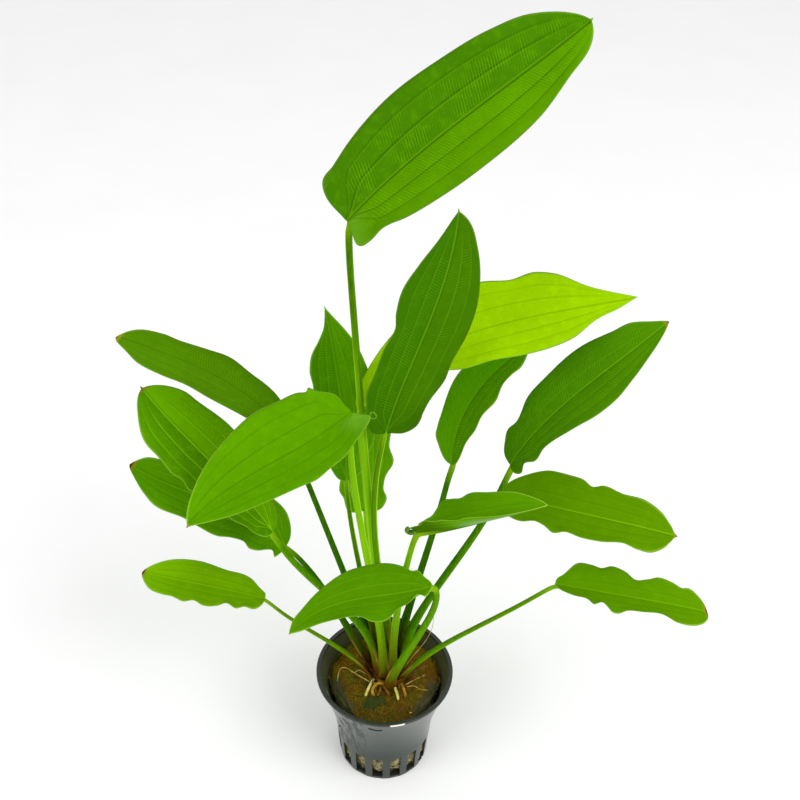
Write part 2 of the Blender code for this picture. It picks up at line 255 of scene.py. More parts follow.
def slot_cutter(name, inner, low, high):
    """Sixteen blocks around the foot, from a radius outward, with soft edges on top."""
    bm = bmesh.new()
    middle = (low + high) / 2
    for index in range(SLOTS):
        turn = Matrix.Rotation(math.radians(SLOT_START + index * 360 / SLOTS), 4, 'Z')
        place = Matrix.Translation((inner + CUT_DEPTH / 2, 0, middle))
        size = Matrix.Diagonal((CUT_DEPTH, SLOT_WIDTH, high - low, 1))
        bmesh.ops.create_cube(bm, size=1, matrix=turn @ place @ size)
    top_edges = [edge for edge in bm.edges if min(vert.co.z for vert in edge.verts) > middle]
    bmesh.ops.bevel(bm, geom=top_edges, offset=SLOT_EDGE, segments=3, profile=0.5, affect='EDGES')
    bmesh.ops.scale(bm, vec=(MM, MM, MM), verts=bm.verts)
    mesh = bpy.data.meshes.new(name)
    bm.to_mesh(mesh)
    return link(name, mesh)


def make_pot():
    bm = bmesh.new()
    verts = [bm.verts.new((radius * MM, 0, height * MM)) for radius, height in pot_outline()]
    for first, second in zip(verts, verts[1:] + verts[:1]):
        if first.co.x > 0 or second.co.x > 0:
            bm.edges.new((first, second))
    mesh = bpy.data.meshes.new("nursery_pot")
    bm.to_mesh(mesh)
    pot = link("nursery_pot", mesh)
    turning = pot.modifiers.new("turning", 'SCREW')
    turning.steps = turning.render_steps = POT_SIDES
    turning.use_merge_vertices = True
    turning.merge_threshold = 0.00001
    cutters = [slot_cutter("slot_cutter", SLOT_BACK, FLOOR, SLOT_HEIGHT),
               slot_cutter("rim_cutter", FOOT_RADIUS - FLOOR_RECESS, -1, FLOOR + CUT_OVERLAP)]
    for cutter in cutters:
        cutting = pot.modifiers.new(cutter.name, 'BOOLEAN')
        cutting.object = cutter
    settled(pot)
    for cutter in cutters:
        bpy.data.objects.remove(cutter)
    pot.data.shade_smooth()
    pot.data.set_sharp_from_angle(angle=math.radians(SHARP_ANGLE))
    return pot


def pot_plastic():
    """Dusty outside, rubbed clean in streaks on the left. The inside is painted lighter than the
    outside,
    and lighter still low in front: painted light where the cup's inside lies in shade. A painted
    highlight lies on the lip's outer face."""
    paint = Paint("pot_plastic")
    spot = paint.place()
    across, back, height = (paint.part_of(spot, axis) for axis in "XYZ")
    flat = paint.stretched(spot, 1, 1, 0)
    facing = paint.node("NewGeometry", output="Normal")
    side = paint.vector("DOT_PRODUCT", paint.vector("NORMALIZE", flat), facing)
    under_lip = POT_HEIGHT - LIP_DEPTH
    below_lip = paint.ramp(height, under_lip, under_lip - 0.5)
    outside = paint.ramp(side, 0.3, 0.7) * below_lip
    beyond_floor = paint.ramp(paint.vector("LENGTH", flat), FOOT_RADIUS - 0.2, FOOT_RADIUS - 0.05)
    inside = paint.ramp(side, -0.3, -0.7) * below_lip
    streaks = paint.noise(paint.stretched(spot, 1, 1, 0.22), 2.4, 5, 0.62)
    cloud = paint.noise(spot, 9)
    grain = paint.noise(spot, 0.3, 2)

    on_left = paint.ramp(across, -4, -9) * paint.ramp(across, -20, -16) * paint.ramp(back, 2, -4)
    rubbed = on_left * paint.ramp(height, 12, 20) * paint.ramp(streaks, 0.48, 0.56)
    dust = outside * beyond_floor * (0.5 + 0.5 * cloud) * (1 - rubbed)
    # Painted light: the inner wall is painted lighter than the outside, and lighter still low in front,
    # where the cup's inside lies in shade.
    low_front = paint.ramp(height, PAINTED_FILL_TOP, PAINTED_FILL_TOP - 2) * paint.ramp(back, -2, -8)
    painted_fill = paint.mix(low_front, rgb(84, 90, 60), rgb(156, 162, 136))
    plastic = paint.mix(inside, rgb(46, 50, 42), painted_fill)
    plastic = paint.mix(dust, plastic, rgb(18, 40, 32))
    specks = paint.ramp(paint.noise(spot, 0.5, 2), 0.74, 0.8) * 0.25
    plastic = paint.mix(specks, plastic, rgb(150, 152, 140))
    # A painted highlight: a near-white glint on the lip's outer face at the front.
    lip_side = paint.ramp(abs(height - POT_HEIGHT + 0.7), 0.75, 0.45) * paint.ramp(side, 0.5, 0.8)
    painted_glint = paint.ramp(abs(across - GLINT_PLACE), GLINT_HALF, GLINT_HALF - 0.8)
    painted_glint = painted_glint * lip_side * paint.ramp(back, 0, -5) * paint.ramp(grain, 0.2, 0.4)
    plastic = paint.mix(painted_glint, plastic, rgb(236, 233, 222))
    return paint.finish(plastic, 0.16 + 0.06 * cloud + 0.3 * rubbed,
                        relief=cloud + 0.5 * streaks - rubbed, depth=0.04, gloss=0.4)


fit(make_pot(), pot_plastic(), "pot_plastic", "pot")

# PLUG
# A block of spun mineral wool, pressed into the cup around the young plant. It is still buff
# where it shows in the slots. Its top has browned, and moss and algae have grown over it; it has
# shrunk from the wall at two places in front.
PLUG_BOTTOM = FLOOR + 0.3
PLUG_TOP = 42.6
PLUG_RISE = 0.06
PLUG_CLEARANCE = 0.2
PLUG_DENTS = [(-148, 4.2, 26), (-34, 4.4, 28)]
PLUG_STAGES = [0, 0.2, 0.3, 0.72, 0.78, 1]
PLUG_HEIGHTS = [PLUG_BOTTOM, PLUG_BOTTOM + 1.4, PLUG_BOTTOM + 3.2,
                PLUG_TOP - 3, PLUG_TOP - 0.6, PLUG_TOP]
PLUG_REACH = [0, 0.8, 1, 1, 0.93, 0]
PLUG_RINGS = 150
PLUG_SIDES = 240
SIDE_THREADS = 1100
TOP_THREADS = 2100
ALGAE = (-4.2, -10.9)
ALGAE_SQUEEZE = 0.6
rng = np.random.default_rng(12)


def unit(vectors):
    return vectors / np.linalg.norm(vectors, axis=-1, keepdims=True)


def build(name, verts, faces, tags=None):
    """A piece from points in millimetres and faces; tags are numbers for the points to carry."""
    mesh = bpy.data.meshes.new(name)
    mesh.from_pydata((np.asarray(verts) * MM).tolist(), [], faces)
    for tag, values in (tags or {}).items():
        layer = mesh.attributes.new(tag, 'FLOAT', 'POINT')
        layer.data.foreach_set("value", np.asarray(values, dtype=np.float32).ravel())
    mesh.validate()
    mesh.shade_smooth()
    return link(name, mesh)


def ring_faces(rings, around, start=0):
    """The faces of a skin over rings of points, with a fan to one point at either end. The two
    end points come after the rings."""
    faces = []
    for ring in range(rings - 1):
        for step in range(around):
            near = start + ring * around
            after = (step + 1) % around
            faces.append((near + step, near + after, near + around + after, near + around + step))
    first = start + rings * around
    last_ring = start + (rings - 1) * around
    for step in range(around):
        after = (step + 1) % around
        faces.append((first, start + after, start + step))
        faces.append((first + 1, last_ring + step, last_ring + after))
    return faces


def skin(name, points, ends=None, tags=None):
    """A closed piece over a grid of points, ring by ring. It meets in the middle of its first and
    last ring where no end points are given. A tag has a value for each point and for the ends."""
    if ends is None:
        ends = [points[0].mean(0), points[-1].mean(0)]
    verts = np.concatenate([points.reshape(-1, 3), ends])
    rings, around = points.shape[:2]
    spread = {tag: np.concatenate([np.broadcast_to(values, (rings, around)).ravel(), last])
              for tag, (values, last) in (tags or {}).items()}
    return build(name, verts, ring_faces(rings, around), spread)


def cloudy(points, size, seed):
    """Smooth noise from -1 to 1 at each point, with lumps of about the given size."""
    flat = points.reshape(-1, 3) / size + seed * 17.3
    return np.array([noise.noise(Vector(p)) for p in flat]).reshape(points.shape[:-1])


def plug_surface(azimuth, along):
    """A point of the plug: along is 0 in the middle of its bottom and 1 in the middle of its top.
    Each dent has its azimuth, its depth and its spread in degrees."""
    height = np.interp(along, PLUG_STAGES, PLUG_HEIGHTS)
    radius = wall_radius(height) - WALL - PLUG_CLEARANCE
    for centre, depth, spread in PLUG_DENTS:
        away = (np.degrees(azimuth) - centre + 180) % 360 - 180
        radius = radius - depth * np.exp(-(away / spread) ** 2) * (height / PLUG_TOP) ** 3
    radius = radius * np.interp(along, PLUG_STAGES, PLUG_REACH)
    x, y = radius * np.cos(azimuth), radius * np.sin(azimuth)
    tilt = PLUG_RISE * y * np.clip((along - PLUG_STAGES[3]) / 0.1, 0, 1)
    return np.stack([x, y, height + tilt], -1)


def make_plug():
    along = np.linspace(0.004, 0.996, PLUG_RINGS)[:, None]
    azimuth = np.linspace(0, 2 * np.pi, PLUG_SIDES, endpoint=False)[None, :]
    points = plug_surface(azimuth, along + 0 * azimuth)
    slope = np.cross(np.gradient(points, axis=1), np.gradient(points, axis=0))
    lumps = 1.1 * cloudy(points, 5, 1) + 0.45 * cloudy(points, 1.8, 2) + 0.25 * cloudy(points, 0.7, 3)
    return skin("wool_plug", points + unit(slope) * (lumps[..., None] - 0.35))


def wool():
    """Buff and dry below; on top brown, rusty and mossy, with one dark patch of algae and painted
    shade over the front. At both sides of the front the wool is sodden and painted shaded near the
    wall, and painted lighter lower down there, where the hollows lie in shade."""
    paint = Paint("mineral_wool")
    spot = paint.place()
    across, back, height = (paint.part_of(spot, axis) for axis in "XYZ")
    blotch = paint.noise(spot, 5, 4, 0.6)
    mottle = paint.noise(spot, 1.3, 4, 0.7)
    fleck = paint.noise(spot, 0.35, 3, 0.6)

    brown = paint.mix(paint.ramp(blotch, 0.4, 0.6), rgb(136, 100, 12), rgb(104, 104, 16))
    brown = paint.mix(paint.ramp(mottle, 0.45, 0.7) * 0.8, brown, rgb(72, 50, 8))
    brown = paint.mix(paint.ramp(fleck, 0.5, 0.8), brown, rgb(176, 144, 26))
    rust = paint.ramp(paint.noise(spot, 8, 3), 0.5, 0.62)
    brown = paint.mix(rust * 0.5, brown, rgb(112, 62, 14))
    damp = paint.ramp(paint.noise(spot, 7, 4, 0.6), 0.54, 0.66)
    brown = paint.mix(damp * 0.48, brown, rgb(64, 56, 34))
    # Painted shade over the front of the wool's top.
    front = paint.ramp(back + 6 * blotch, -4, -10)
    brown = paint.mix(front * 0.5, brown, rgb(60, 50, 20))
    radius = paint.vector("LENGTH", paint.stretched(spot, 1, 1, 0))
    # At both sides of the front, near the wall: sodden wool with painted shade, darkest at the top and
    # painted lighter lower down, as painted light in the shaded hollows.
    sodden_and_shaded = paint.ramp(radius + 5 * blotch, 18, 20.5) * paint.ramp(abs(across), 10, 15)
    sodden_shade_and_fill = paint.mix(paint.ramp(height, PLUG_TOP, PLUG_TOP - 3), rgb(58, 54, 28), rgb(114, 112, 82))
    brown = paint.mix(sodden_and_shaded * paint.ramp(back, 4, -3) * 0.9, brown, sodden_shade_and_fill)

    buff = paint.mix(paint.ramp(mottle, 0.42, 0.62), rgb(176, 168, 126), rgb(66, 58, 36))
    top = paint.ramp(height, 30, 40)
    centre = (ALGAE[0] * ALGAE_SQUEEZE, ALGAE[1], 0)
    from_algae = paint.vector("DISTANCE", paint.stretched(spot, ALGAE_SQUEEZE, 1, 0), centre)
    algae = paint.ramp(from_algae + 7 * blotch + 2 * mottle, 8.2, 6.8) * top
    slime = paint.mix(mottle, rgb(36, 52, 20), rgb(66, 86, 26))
    colour = paint.mix(algae * 0.9, paint.mix(top, buff, brown), slime)
    return paint.finish(colour, 0.95 - 0.3 * algae, relief=fleck + mottle, depth=0.5, gloss=0.1)


fit(make_plug(), wool(), "mineral_wool", "plug")


def threads(name, paths, radii, tags=None):
    """Many fine threads as one mesh: each is a three-sided rod that tapers along its path."""
    count, steps = paths.shape[:2]
    run = unit(paths[:, -1] - paths[:, 0])
    lean = unit(np.cross(run, np.where(np.abs(run[:, 2:]) < 0.8, [[0, 0, 1.0]], [[1.0, 0, 0]])))
    over = np.cross(run, lean)
    taper = np.linspace(1, 0.45, steps)
    size = (np.asarray(radii)[:, None] * taper)[:, :, None, None]
    turns = np.radians([90, 210, 330])
    spokes = lean[:, None] * np.cos(turns)[:, None] + over[:, None] * np.sin(turns)[:, None]
    verts = (paths[:, :, None] + size * spokes[:, None]).reshape(-1, 3)
    faces = []
    for thread in range(count):
        base = thread * steps * 3
        for step in range(steps - 1):
            row = base + step * 3
            for side in range(3):
                after = (side + 1) % 3
                faces.append((row + side, row + after, row + 3 + after, row + 3 + side))
        end = base + (steps - 1) * 3
        faces.append((base + 2, base + 1, base))
        faces.append((end, end + 1, end + 2))
    spread = {tag: np.repeat(values, steps * 3) for tag, values in (tags or {}).items()}
    return build(name, verts, faces, spread)


def wool_paths(count, low, high, reach, lift):
    """Curly threads that lie on the plug, between two stages of its surface."""
    azimuth = rng.uniform(0, 2 * np.pi, count)
    along = rng.uniform(low, high, count)
    here = plug_surface(azimuth, along)
    step = 0.02
    east = unit(plug_surface(azimuth + step, along) - here)
    north = unit(plug_surface(azimuth, along + step) - here)
    out = np.cross(east, north)
    turn = rng.uniform(0, 2 * np.pi, (count, 1))
    ahead = east * np.cos(turn) + north * np.sin(turn)
    aside = np.cross(out, ahead)
    bend = rng.uniform(-1, 1, (count, 1, 1))
    walk = np.linspace(-1, 1, 6)[None, :, None]
    length = rng.uniform(0.5, 1, (count, 1, 1)) * reach
    rise = rng.uniform(0.2, 1, (count, 1, 1)) * lift
    path = here[:, None] + ahead[:, None] * walk * length
    path = path + aside[:, None] * bend * length * (1 - walk ** 2) * 0.8
    return path + out[:, None] * rise * (1 - 0.8 * walk ** 2)


def wool_threads():
    """Threads all round and on top, but none on the algae and none at the front sides, where the
    wool is sodden and painted shaded.
    """
    sides = wool_paths(SIDE_THREADS, 0.24, 0.7, 1.6, 0.35)
    top = wool_paths(TOP_THREADS, 0.74, 0.99, 1.7, 0.7)
    x, y = top[:, 2, 0], top[:, 2, 1]
    slimy = np.hypot((x - ALGAE[0]) * ALGAE_SQUEEZE, y - ALGAE[1]) < 2.8
    sodden = (np.hypot(x, y) > 17.5) & (np.abs(x) > 11) & (y < 0)
    top = top[~(slimy | sodden)]
    paths = np.concatenate([sides, top])
    tags = {"hue": rng.uniform(0, 1, len(paths)), "grown": np.repeat([0.0, 1.0], [len(sides), len(top)])}
    return threads("wool_threads", paths, rng.uniform(0.05, 0.11, len(paths)), tags)


def thread_finish():
    paint = Paint("wool_threads")
    hue = paint.tagged("hue")
    buff = paint.mix(hue, rgb(196, 186, 146), rgb(104, 90, 54))
    moss = paint.mix(paint.ramp(hue, 0.2, 0.5), rgb(84, 92, 12), rgb(142, 98, 12))
    moss = paint.mix(paint.ramp(hue, 0.75, 0.95), moss, rgb(190, 158, 34))
    return paint.finish(paint.mix(paint.tagged("grown"), buff, moss), 0.8, gloss=0.15)


fit(wool_threads(), thread_finish(), "mineral_wool")

# CROWN
# The short rootstock that the stalks spring from, a lumpy brown stump that sits on the plug. The
# husks of its first leaves still stand around it: thin, papery and split.
CROWN_CENTRE = (1.0, 1.5)
CROWN_RADIUS = 7.4
CROWN_MIDDLE = 43.6
CROWN_HALF_HEIGHT = 2.4
HUSKS = 22
TALL_HUSKS = [(-8, 8.6, 9, 1.5, 0.9), (-22, 9.0, 7, 1.2, 1.1), (-118, 5.0, 13, 1.6, 0.1),
              (-62, 5.2, 12, 1.5, 0.15), (-95, 4.6, 15, 1.4, 0.05), (214, 7.4, 12, 1.2, 0.5)]
HUSK_THICKNESS = 0.13


def make_crown():
    tilt = np.linspace(-0.49 * np.pi, 0.49 * np.pi, 40)[:, None]
    azimuth = np.linspace(0, 2 * np.pi, 72, endpoint=False)[None, :]
    shape = np.stack([np.cos(tilt) * np.cos(azimuth), np.cos(tilt) * np.sin(azimuth),
                      np.sin(tilt) + 0 * azimuth], -1)
    size = [CROWN_RADIUS, CROWN_RADIUS, CROWN_HALF_HEIGHT]
    points = shape * size + [*CROWN_CENTRE, CROWN_MIDDLE]
    lumps = 0.9 * cloudy(points, 3, 5) + 0.35 * cloudy(points, 1, 6)
    return skin("rootstock", points + shape * lumps[..., None])


def bark(name, dark, pale):
    paint = Paint(name)
    spot = paint.place()
    grain = paint.noise(paint.stretched(spot, 1, 1, 0.25), 0.7, 4, 0.7)
    patch = paint.noise(spot, 3)
    colour = paint.mix(paint.ramp(grain * 0.6 + patch * 0.4, 0.38, 0.62), dark, pale)
    return paint.finish(colour, 0.75, relief=grain, depth=0.3)


fit(make_crown(), bark("rootstock", rgb(70, 40, 8), rgb(128, 84, 22)), "rootstock", "crown")


def make_husks():
    """Each husk is a curved strap that narrows to a ragged point and leans off the crown. It has
    an azimuth, a distance from the crown's middle, a height, half a width and a lean."""
    rings, across = 12, 8
    verts, faces = [], []
    around = np.linspace(0, 2 * np.pi, across, endpoint=False)
    turns = [index * 360 / HUSKS + rng.uniform(-7, 7) for index in range(HUSKS)]
    loose = [(turn, *rng.uniform((4.2, 4, 1.2, 0.1), (8.2, 11, 2.4, 0.45))) for turn in turns]
    for index, (turn, ring, height, width, lean) in enumerate(loose + TALL_HUSKS):
        azimuth = math.radians(turn)
        out = np.array([math.cos(azimuth), math.sin(azimuth), 0])
        side = np.array([-out[1], out[0], 0])
        foot = np.array([*CROWN_CENTRE, CROWN_MIDDLE]) + out * ring
        start = sum(len(part) for part in verts)
        for rise in np.linspace(0, 1, rings):
            middle = foot + out * lean * height * rise ** 1.5 + [0, 0, height * rise]
            half = width * (1 - rise) ** 0.6 * (1 + 0.2 * math.sin(9 * rise + index))
            over = half * np.cos(around)[:, None] * side
            bow = 0.5 * half * (np.cos(around) ** 2)[:, None] * -out
            verts.append(middle + over + HUSK_THICKNESS * np.sin(around)[:, None] * out + bow)
        verts.append(np.array([foot, foot + out * lean * height + [0, 0, height]]))
        faces += ring_faces(rings, across, start)
    return build("husks", np.concatenate(verts), faces)


fit(make_husks(), bark("husks", rgb(104, 54, 8), rgb(164, 116, 34)), "rootstock")

# ROOTS
# New roots push out from the crown's front over the wool: two are white and short, one is an
# amber loop and one has browned. Finer ones trail over the moss, and one dry thread stands up
# behind. A few bits of root and dirt cling to the pot's wall.
ROOTS = {
    "root_white_left": ("root_new", 0.62, [
        (-4.4, -2.6, 45.4), (-5.6, -5.4, 45.2), (-6.6, -7.8, 44.6), (-7.4, -10.0, 43.9)]),
    "root_white_right": ("root_new", 0.6, [
        (4.4, -6.6, 45.2), (5.0, -8.4, 45.2), (5.5, -10.0, 44.7), (5.9, -11.6, 44.0)]),
    "root_loop": ("root_old", 0.7, [
        (0.2, -4.4, 45.0), (-0.9, -5.2, 46.2), (-2.5, -5.6, 46.6), (-4.1, -6.8, 46.0),
        (-4.6, -8.6, 44.8), (-3.7, -9.8, 43.8)]),
    "root_brown_right": ("root_old", 0.6, [
        (6.6, -4.0, 45.2), (7.6, -6.2, 45.2), (8.2, -8.0, 44.8), (8.7, -9.8, 44.0)]),
}
ROOT_WOBBLE = 0.12
STUBS = [
    (0.6, [(-1.6, -5.0, 44.8), (-1.6, -7.4, 44.6), (-2.6, -9.4, 43.6)]),
    (0.6, [(-0.3, -5.6, 44.9), (0.8, -7.2, 44.8), (2.2, -9.2, 43.6)]),
    (0.5, [(-2.8, -4.4, 44.9), (-3.4, -6.6, 44.4), (-3.2, -8.4, 43.6)]),
    (0.45, [(6.0, -4.2, 44.8), (6.2, -7.0, 44.4), (6.9, -9.4, 43.6)]),
]
FILAMENTS = [
    (0.16, [(-5.6, -1.4, 45.2), (-10.2, 1.2, 45.9), (-12.4, 0.2, 45.6), (-14.8, 1.8, 45.9),
            (-17.4, 2.6, 45.5), (-18.6, 0.2, 45.2), (-18.9, -3.6, 44.6)]),
    (0.2, [(-6.0, -3.6, 45.0), (-9.6, -1.6, 45.4), (-13.4, 0.8, 45.8)]),
    (0.16, [(8.6, -4.6, 44.8), (12.2, -2.6, 45.6), (16.6, -0.4, 46.2)]),
    (0.14, [(9.2, -5.4, 44.6), (12.0, -5.2, 45.0), (14.6, -6.6, 44.8), (17.8, -6.8, 44.6)]),
    (0.14, [(8.2, 0.4, 47.0), (9.7, 1.5, 52.0), (13.3, 5.0, 54.8), (16.0, 8.0, 56.5),
            (18.0, 10.0, 59.5), (19.0, 11.5, 62.7), (19.1, 12.5, 67.6), (18.9, 12.6, 71.0)]),
    (0.13, [(7.2, 2.2, 46.0), (8.4, 4.4, 49.6), (8.0, 6.0, 54.0), (9.0, 7.4, 57.5)]),
    (0.3, [(10.6, -16.6, 42.9), (10.9, -17.2, 43.6), (10.9, -17.5, 44.3)]),
]


def smooth_path(points, count):
    """A flowing curve through a few points."""
    points = np.array(points, float)
    padded = np.concatenate([[2 * points[0] - points[1]], points, [2 * points[-1] - points[-2]]])
    spans = len(points) - 1
    path = []
    for place in np.linspace(0, spans, count):
        span = min(int(place), spans - 1)
        t = place - span
        a, b, c, d = padded[span:span + 4]
        path.append(0.5 * (2 * b + (c - a) * t + (2 * a - 5 * b + 4 * c - d) * t ** 2
                           + (3 * b - a - 3 * c + d) * t ** 3))
    return np.array(path)


def rod(points, radii, around=12, start=0, wobble=0.0):
    """Points and faces of a round rod with domed ends along a path."""
    run = unit(np.gradient(points, axis=0))
    lean = unit(np.cross(run, [0.31, 0.22, 0.92]))
    over = np.cross(run, lean)
    turns = np.linspace(0, 2 * np.pi, around, endpoint=False)
    spokes = lean[:, None] * np.cos(turns)[:, None] + over[:, None] * np.sin(turns)[:, None]
    rings = points[:, None] + spokes * np.asarray(radii)[:, None, None]
    if wobble:
        rings = rings + spokes * wobble * cloudy(rings, 0.8, 9)[..., None]
    verts = np.concatenate([rings.reshape(-1, 3), points[[0, -1]]])
    return verts, ring_faces(len(points), around, start)


def root_radii(radius, count):
    """A root thins a little along its way and ends in a blunt dome."""
    left = np.linspace(1, 0, count)
    dome = np.sqrt(1 - (1 - np.clip(left / 0.12, 0, 1)) ** 2)
    return radius * (0.25 + 0.75 * dome) * (0.85 + 0.15 * left)


def root_finish(name, dark, pale):
    paint = Paint(name)
    spot = paint.place()
    patch = paint.ramp(paint.noise(spot, 1.8, 3), 0.35, 0.65)
    hair = paint.noise(spot, 0.25, 2)
    return paint.finish(paint.mix(patch, dark, pale), 0.45, relief=hair, depth=0.1, gloss=0.12)


ROOT_LOOKS = {
    "root_new": root_finish("root_new", rgb(190, 190, 84), rgb(232, 228, 150)),
    "root_old": root_finish("root_old", rgb(138, 100, 18), rgb(188, 156, 38)),
}
for node, (slot, radius, route) in ROOTS.items():
    verts, faces = rod(smooth_path(route, 36), root_radii(radius, 36), 16, 0, ROOT_WOBBLE)
    fit(build("fine_" + node, verts, faces), ROOT_LOOKS[slot], slot, node)


def many_rods(name, routes, count, around):
    """Rods along several routes as one mesh, each with its radius."""
    verts, faces = [], []
    start = 0
    for radius, route in routes:
        points, sides = rod(smooth_path(route, count), root_radii(radius, count), around, start)
        verts.append(points)
        faces += sides
        start += len(points)
    return build(name, np.concatenate(verts), faces)


def on_wall(places):
    """Points on the pot's front from places across and up."""
    return [(x, -math.sqrt(wall_radius(z) ** 2 - x * x) - 0.1, z) for x, z in places]


CRUMBS = [
    (0.16, on_wall([(-5.6, 43.6), (-4.4, 43.0), (-2.8, 42.6), (-1.2, 42.6), (-0.2, 43.4)])),
    (0.3, on_wall([(16.9, 11.4), (17.3, 11.0), (17.6, 10.2)])),
    (0.35, on_wall([(15.2, 3.0), (15.8, 2.4), (16.2, 2.2)])),
    (0.3, on_wall([(-17.8, 24.4), (-18.0, 23.6), (-18.0, 22.8)])),
]
FINE_BITS = {
    "crumbs": (CRUMBS, 16, 8, rgb(24, 22, 14), rgb(52, 40, 24)),
    "root_stubs": (STUBS, 24, 12, rgb(100, 64, 12), rgb(140, 98, 26)),
    "root_filaments": (FILAMENTS, 40, 6, rgb(176, 150, 60), rgb(224, 204, 116)),
}
for name, (routes, count, around, dark, pale) in FINE_BITS.items():
    fit(many_rods(name, routes, count, around), root_finish(name, dark, pale), "root_old")

# LEAVES
# Sixteen long oval blades, thin and a little leathery. Each has a midrib and two veins on either
# side, which run with its margin and meet at the tip, and fine veinlets cross between them. Some
# are dark and some pale, partly their own colour and partly painted light and shade, and one is
# painted bright yellow-green for light shining through it from behind.
INNER_RING = 3.8
OUTER_RING = 7.6
BLADE_THICKNESS = 0.42
KEEL_HEIGHT = 0.7
LOBE_PLACE = 0.045
SIDE_VEINS = (0.36, 0.69)
VEIN_FAN = (-0.02, 0.13)
MIDRIB_GROOVE = (0.2, 0.45)
VEIN_GROOVE = (0.12, 0.35)
SWELL = 0.02
UNDERSIDE = rgb(150, 190, 125)


@dataclass
class Leaf:
    """base and tip are the midrib's ends. width is the widest place, at the fraction belly of the
    length; full rounds the base and point sharpens the tip. lobe is how far the two lower corners
    reach back. roll turns the blade about its length from level, and twist turns it on from base
    to tip. arch and sway bow the midrib up and to the right, at one and two thirds of its length.
    fold lifts the left and right halves. ring and around place the stalk's foot on the crown, and
    rise and reach are the handles of its curve. left and right are the colours of the two halves,
    with painted light and shade in them: one half is lighter than the other where more light falls
    on it, and some blades that others shade are painted lighter. shade is their kind in the model.
    left_edge and right_edge say where the margin stands out from the plain oval or draws in, each
    as a place along the blade and a distance; frill is how much it rises there, for the two sides.
    stalk is the stalk's colour, sheath is half its width at the foot, thick is its stoutness and
    paled is how much its middle is painted lighter, as painted light among the stalks that shade
    one another, brighter still above 1. veins and sides are how strongly the midrib and the veins
    beside it show, furrow the painted shade in the furrows along them, ribs the veinlets between
    them, and quilt how much the blade swells there. fresh is how much lighter the tip is. beak is
    the length of the drawn-out tip, flare how wide it starts and burnt how much of it is brown. rim
    is how strongly the margin shows, in rim_colour. pale is how pale the underside is, from the
    place pale_from on, partly its own paler colour and partly a painted sheen; before that place
    the underside is painted shaded. sheen is how much the lower left corner shines, or the right
    one where it is negative. crease is where the sides bend forward, 0 for nowhere."""
    name: str
    base: tuple
    tip: tuple
    width: float
    belly: float
    full: float
    point: float
    lobe: tuple
    roll: float
    twist: float
    arch: tuple
    sway: tuple
    fold: tuple
    ring: float
    around: float
    rise: tuple
    reach: tuple
    left: tuple
    right: tuple
    shade: str
    left_edge: tuple = ()
    right_edge: tuple = ()
    frill: tuple = (0.0, 0.0)
    stalk: tuple = (92, 150, 4)
    sheath: float = 2.4
    thick: float = 1.0
    middle_light: float = 0.0
    veins: float = 0.6
    sides: float = 0.7
    furrow_shade: float = 0.35
    ribs: float = 0.4
    quilt: float = 0.5
    tip_gain: float = 1.12
    beak: float = 0.0
    flare: float = 1.0
    rim: float = 0.8
    pale: float = 0.25
    pale_from: float = 0.0
    sheen: float = 0.0
    crease: float = 0.0
    rim_colour: tuple = (150, 202, 56)
    burnt: float = 0.0
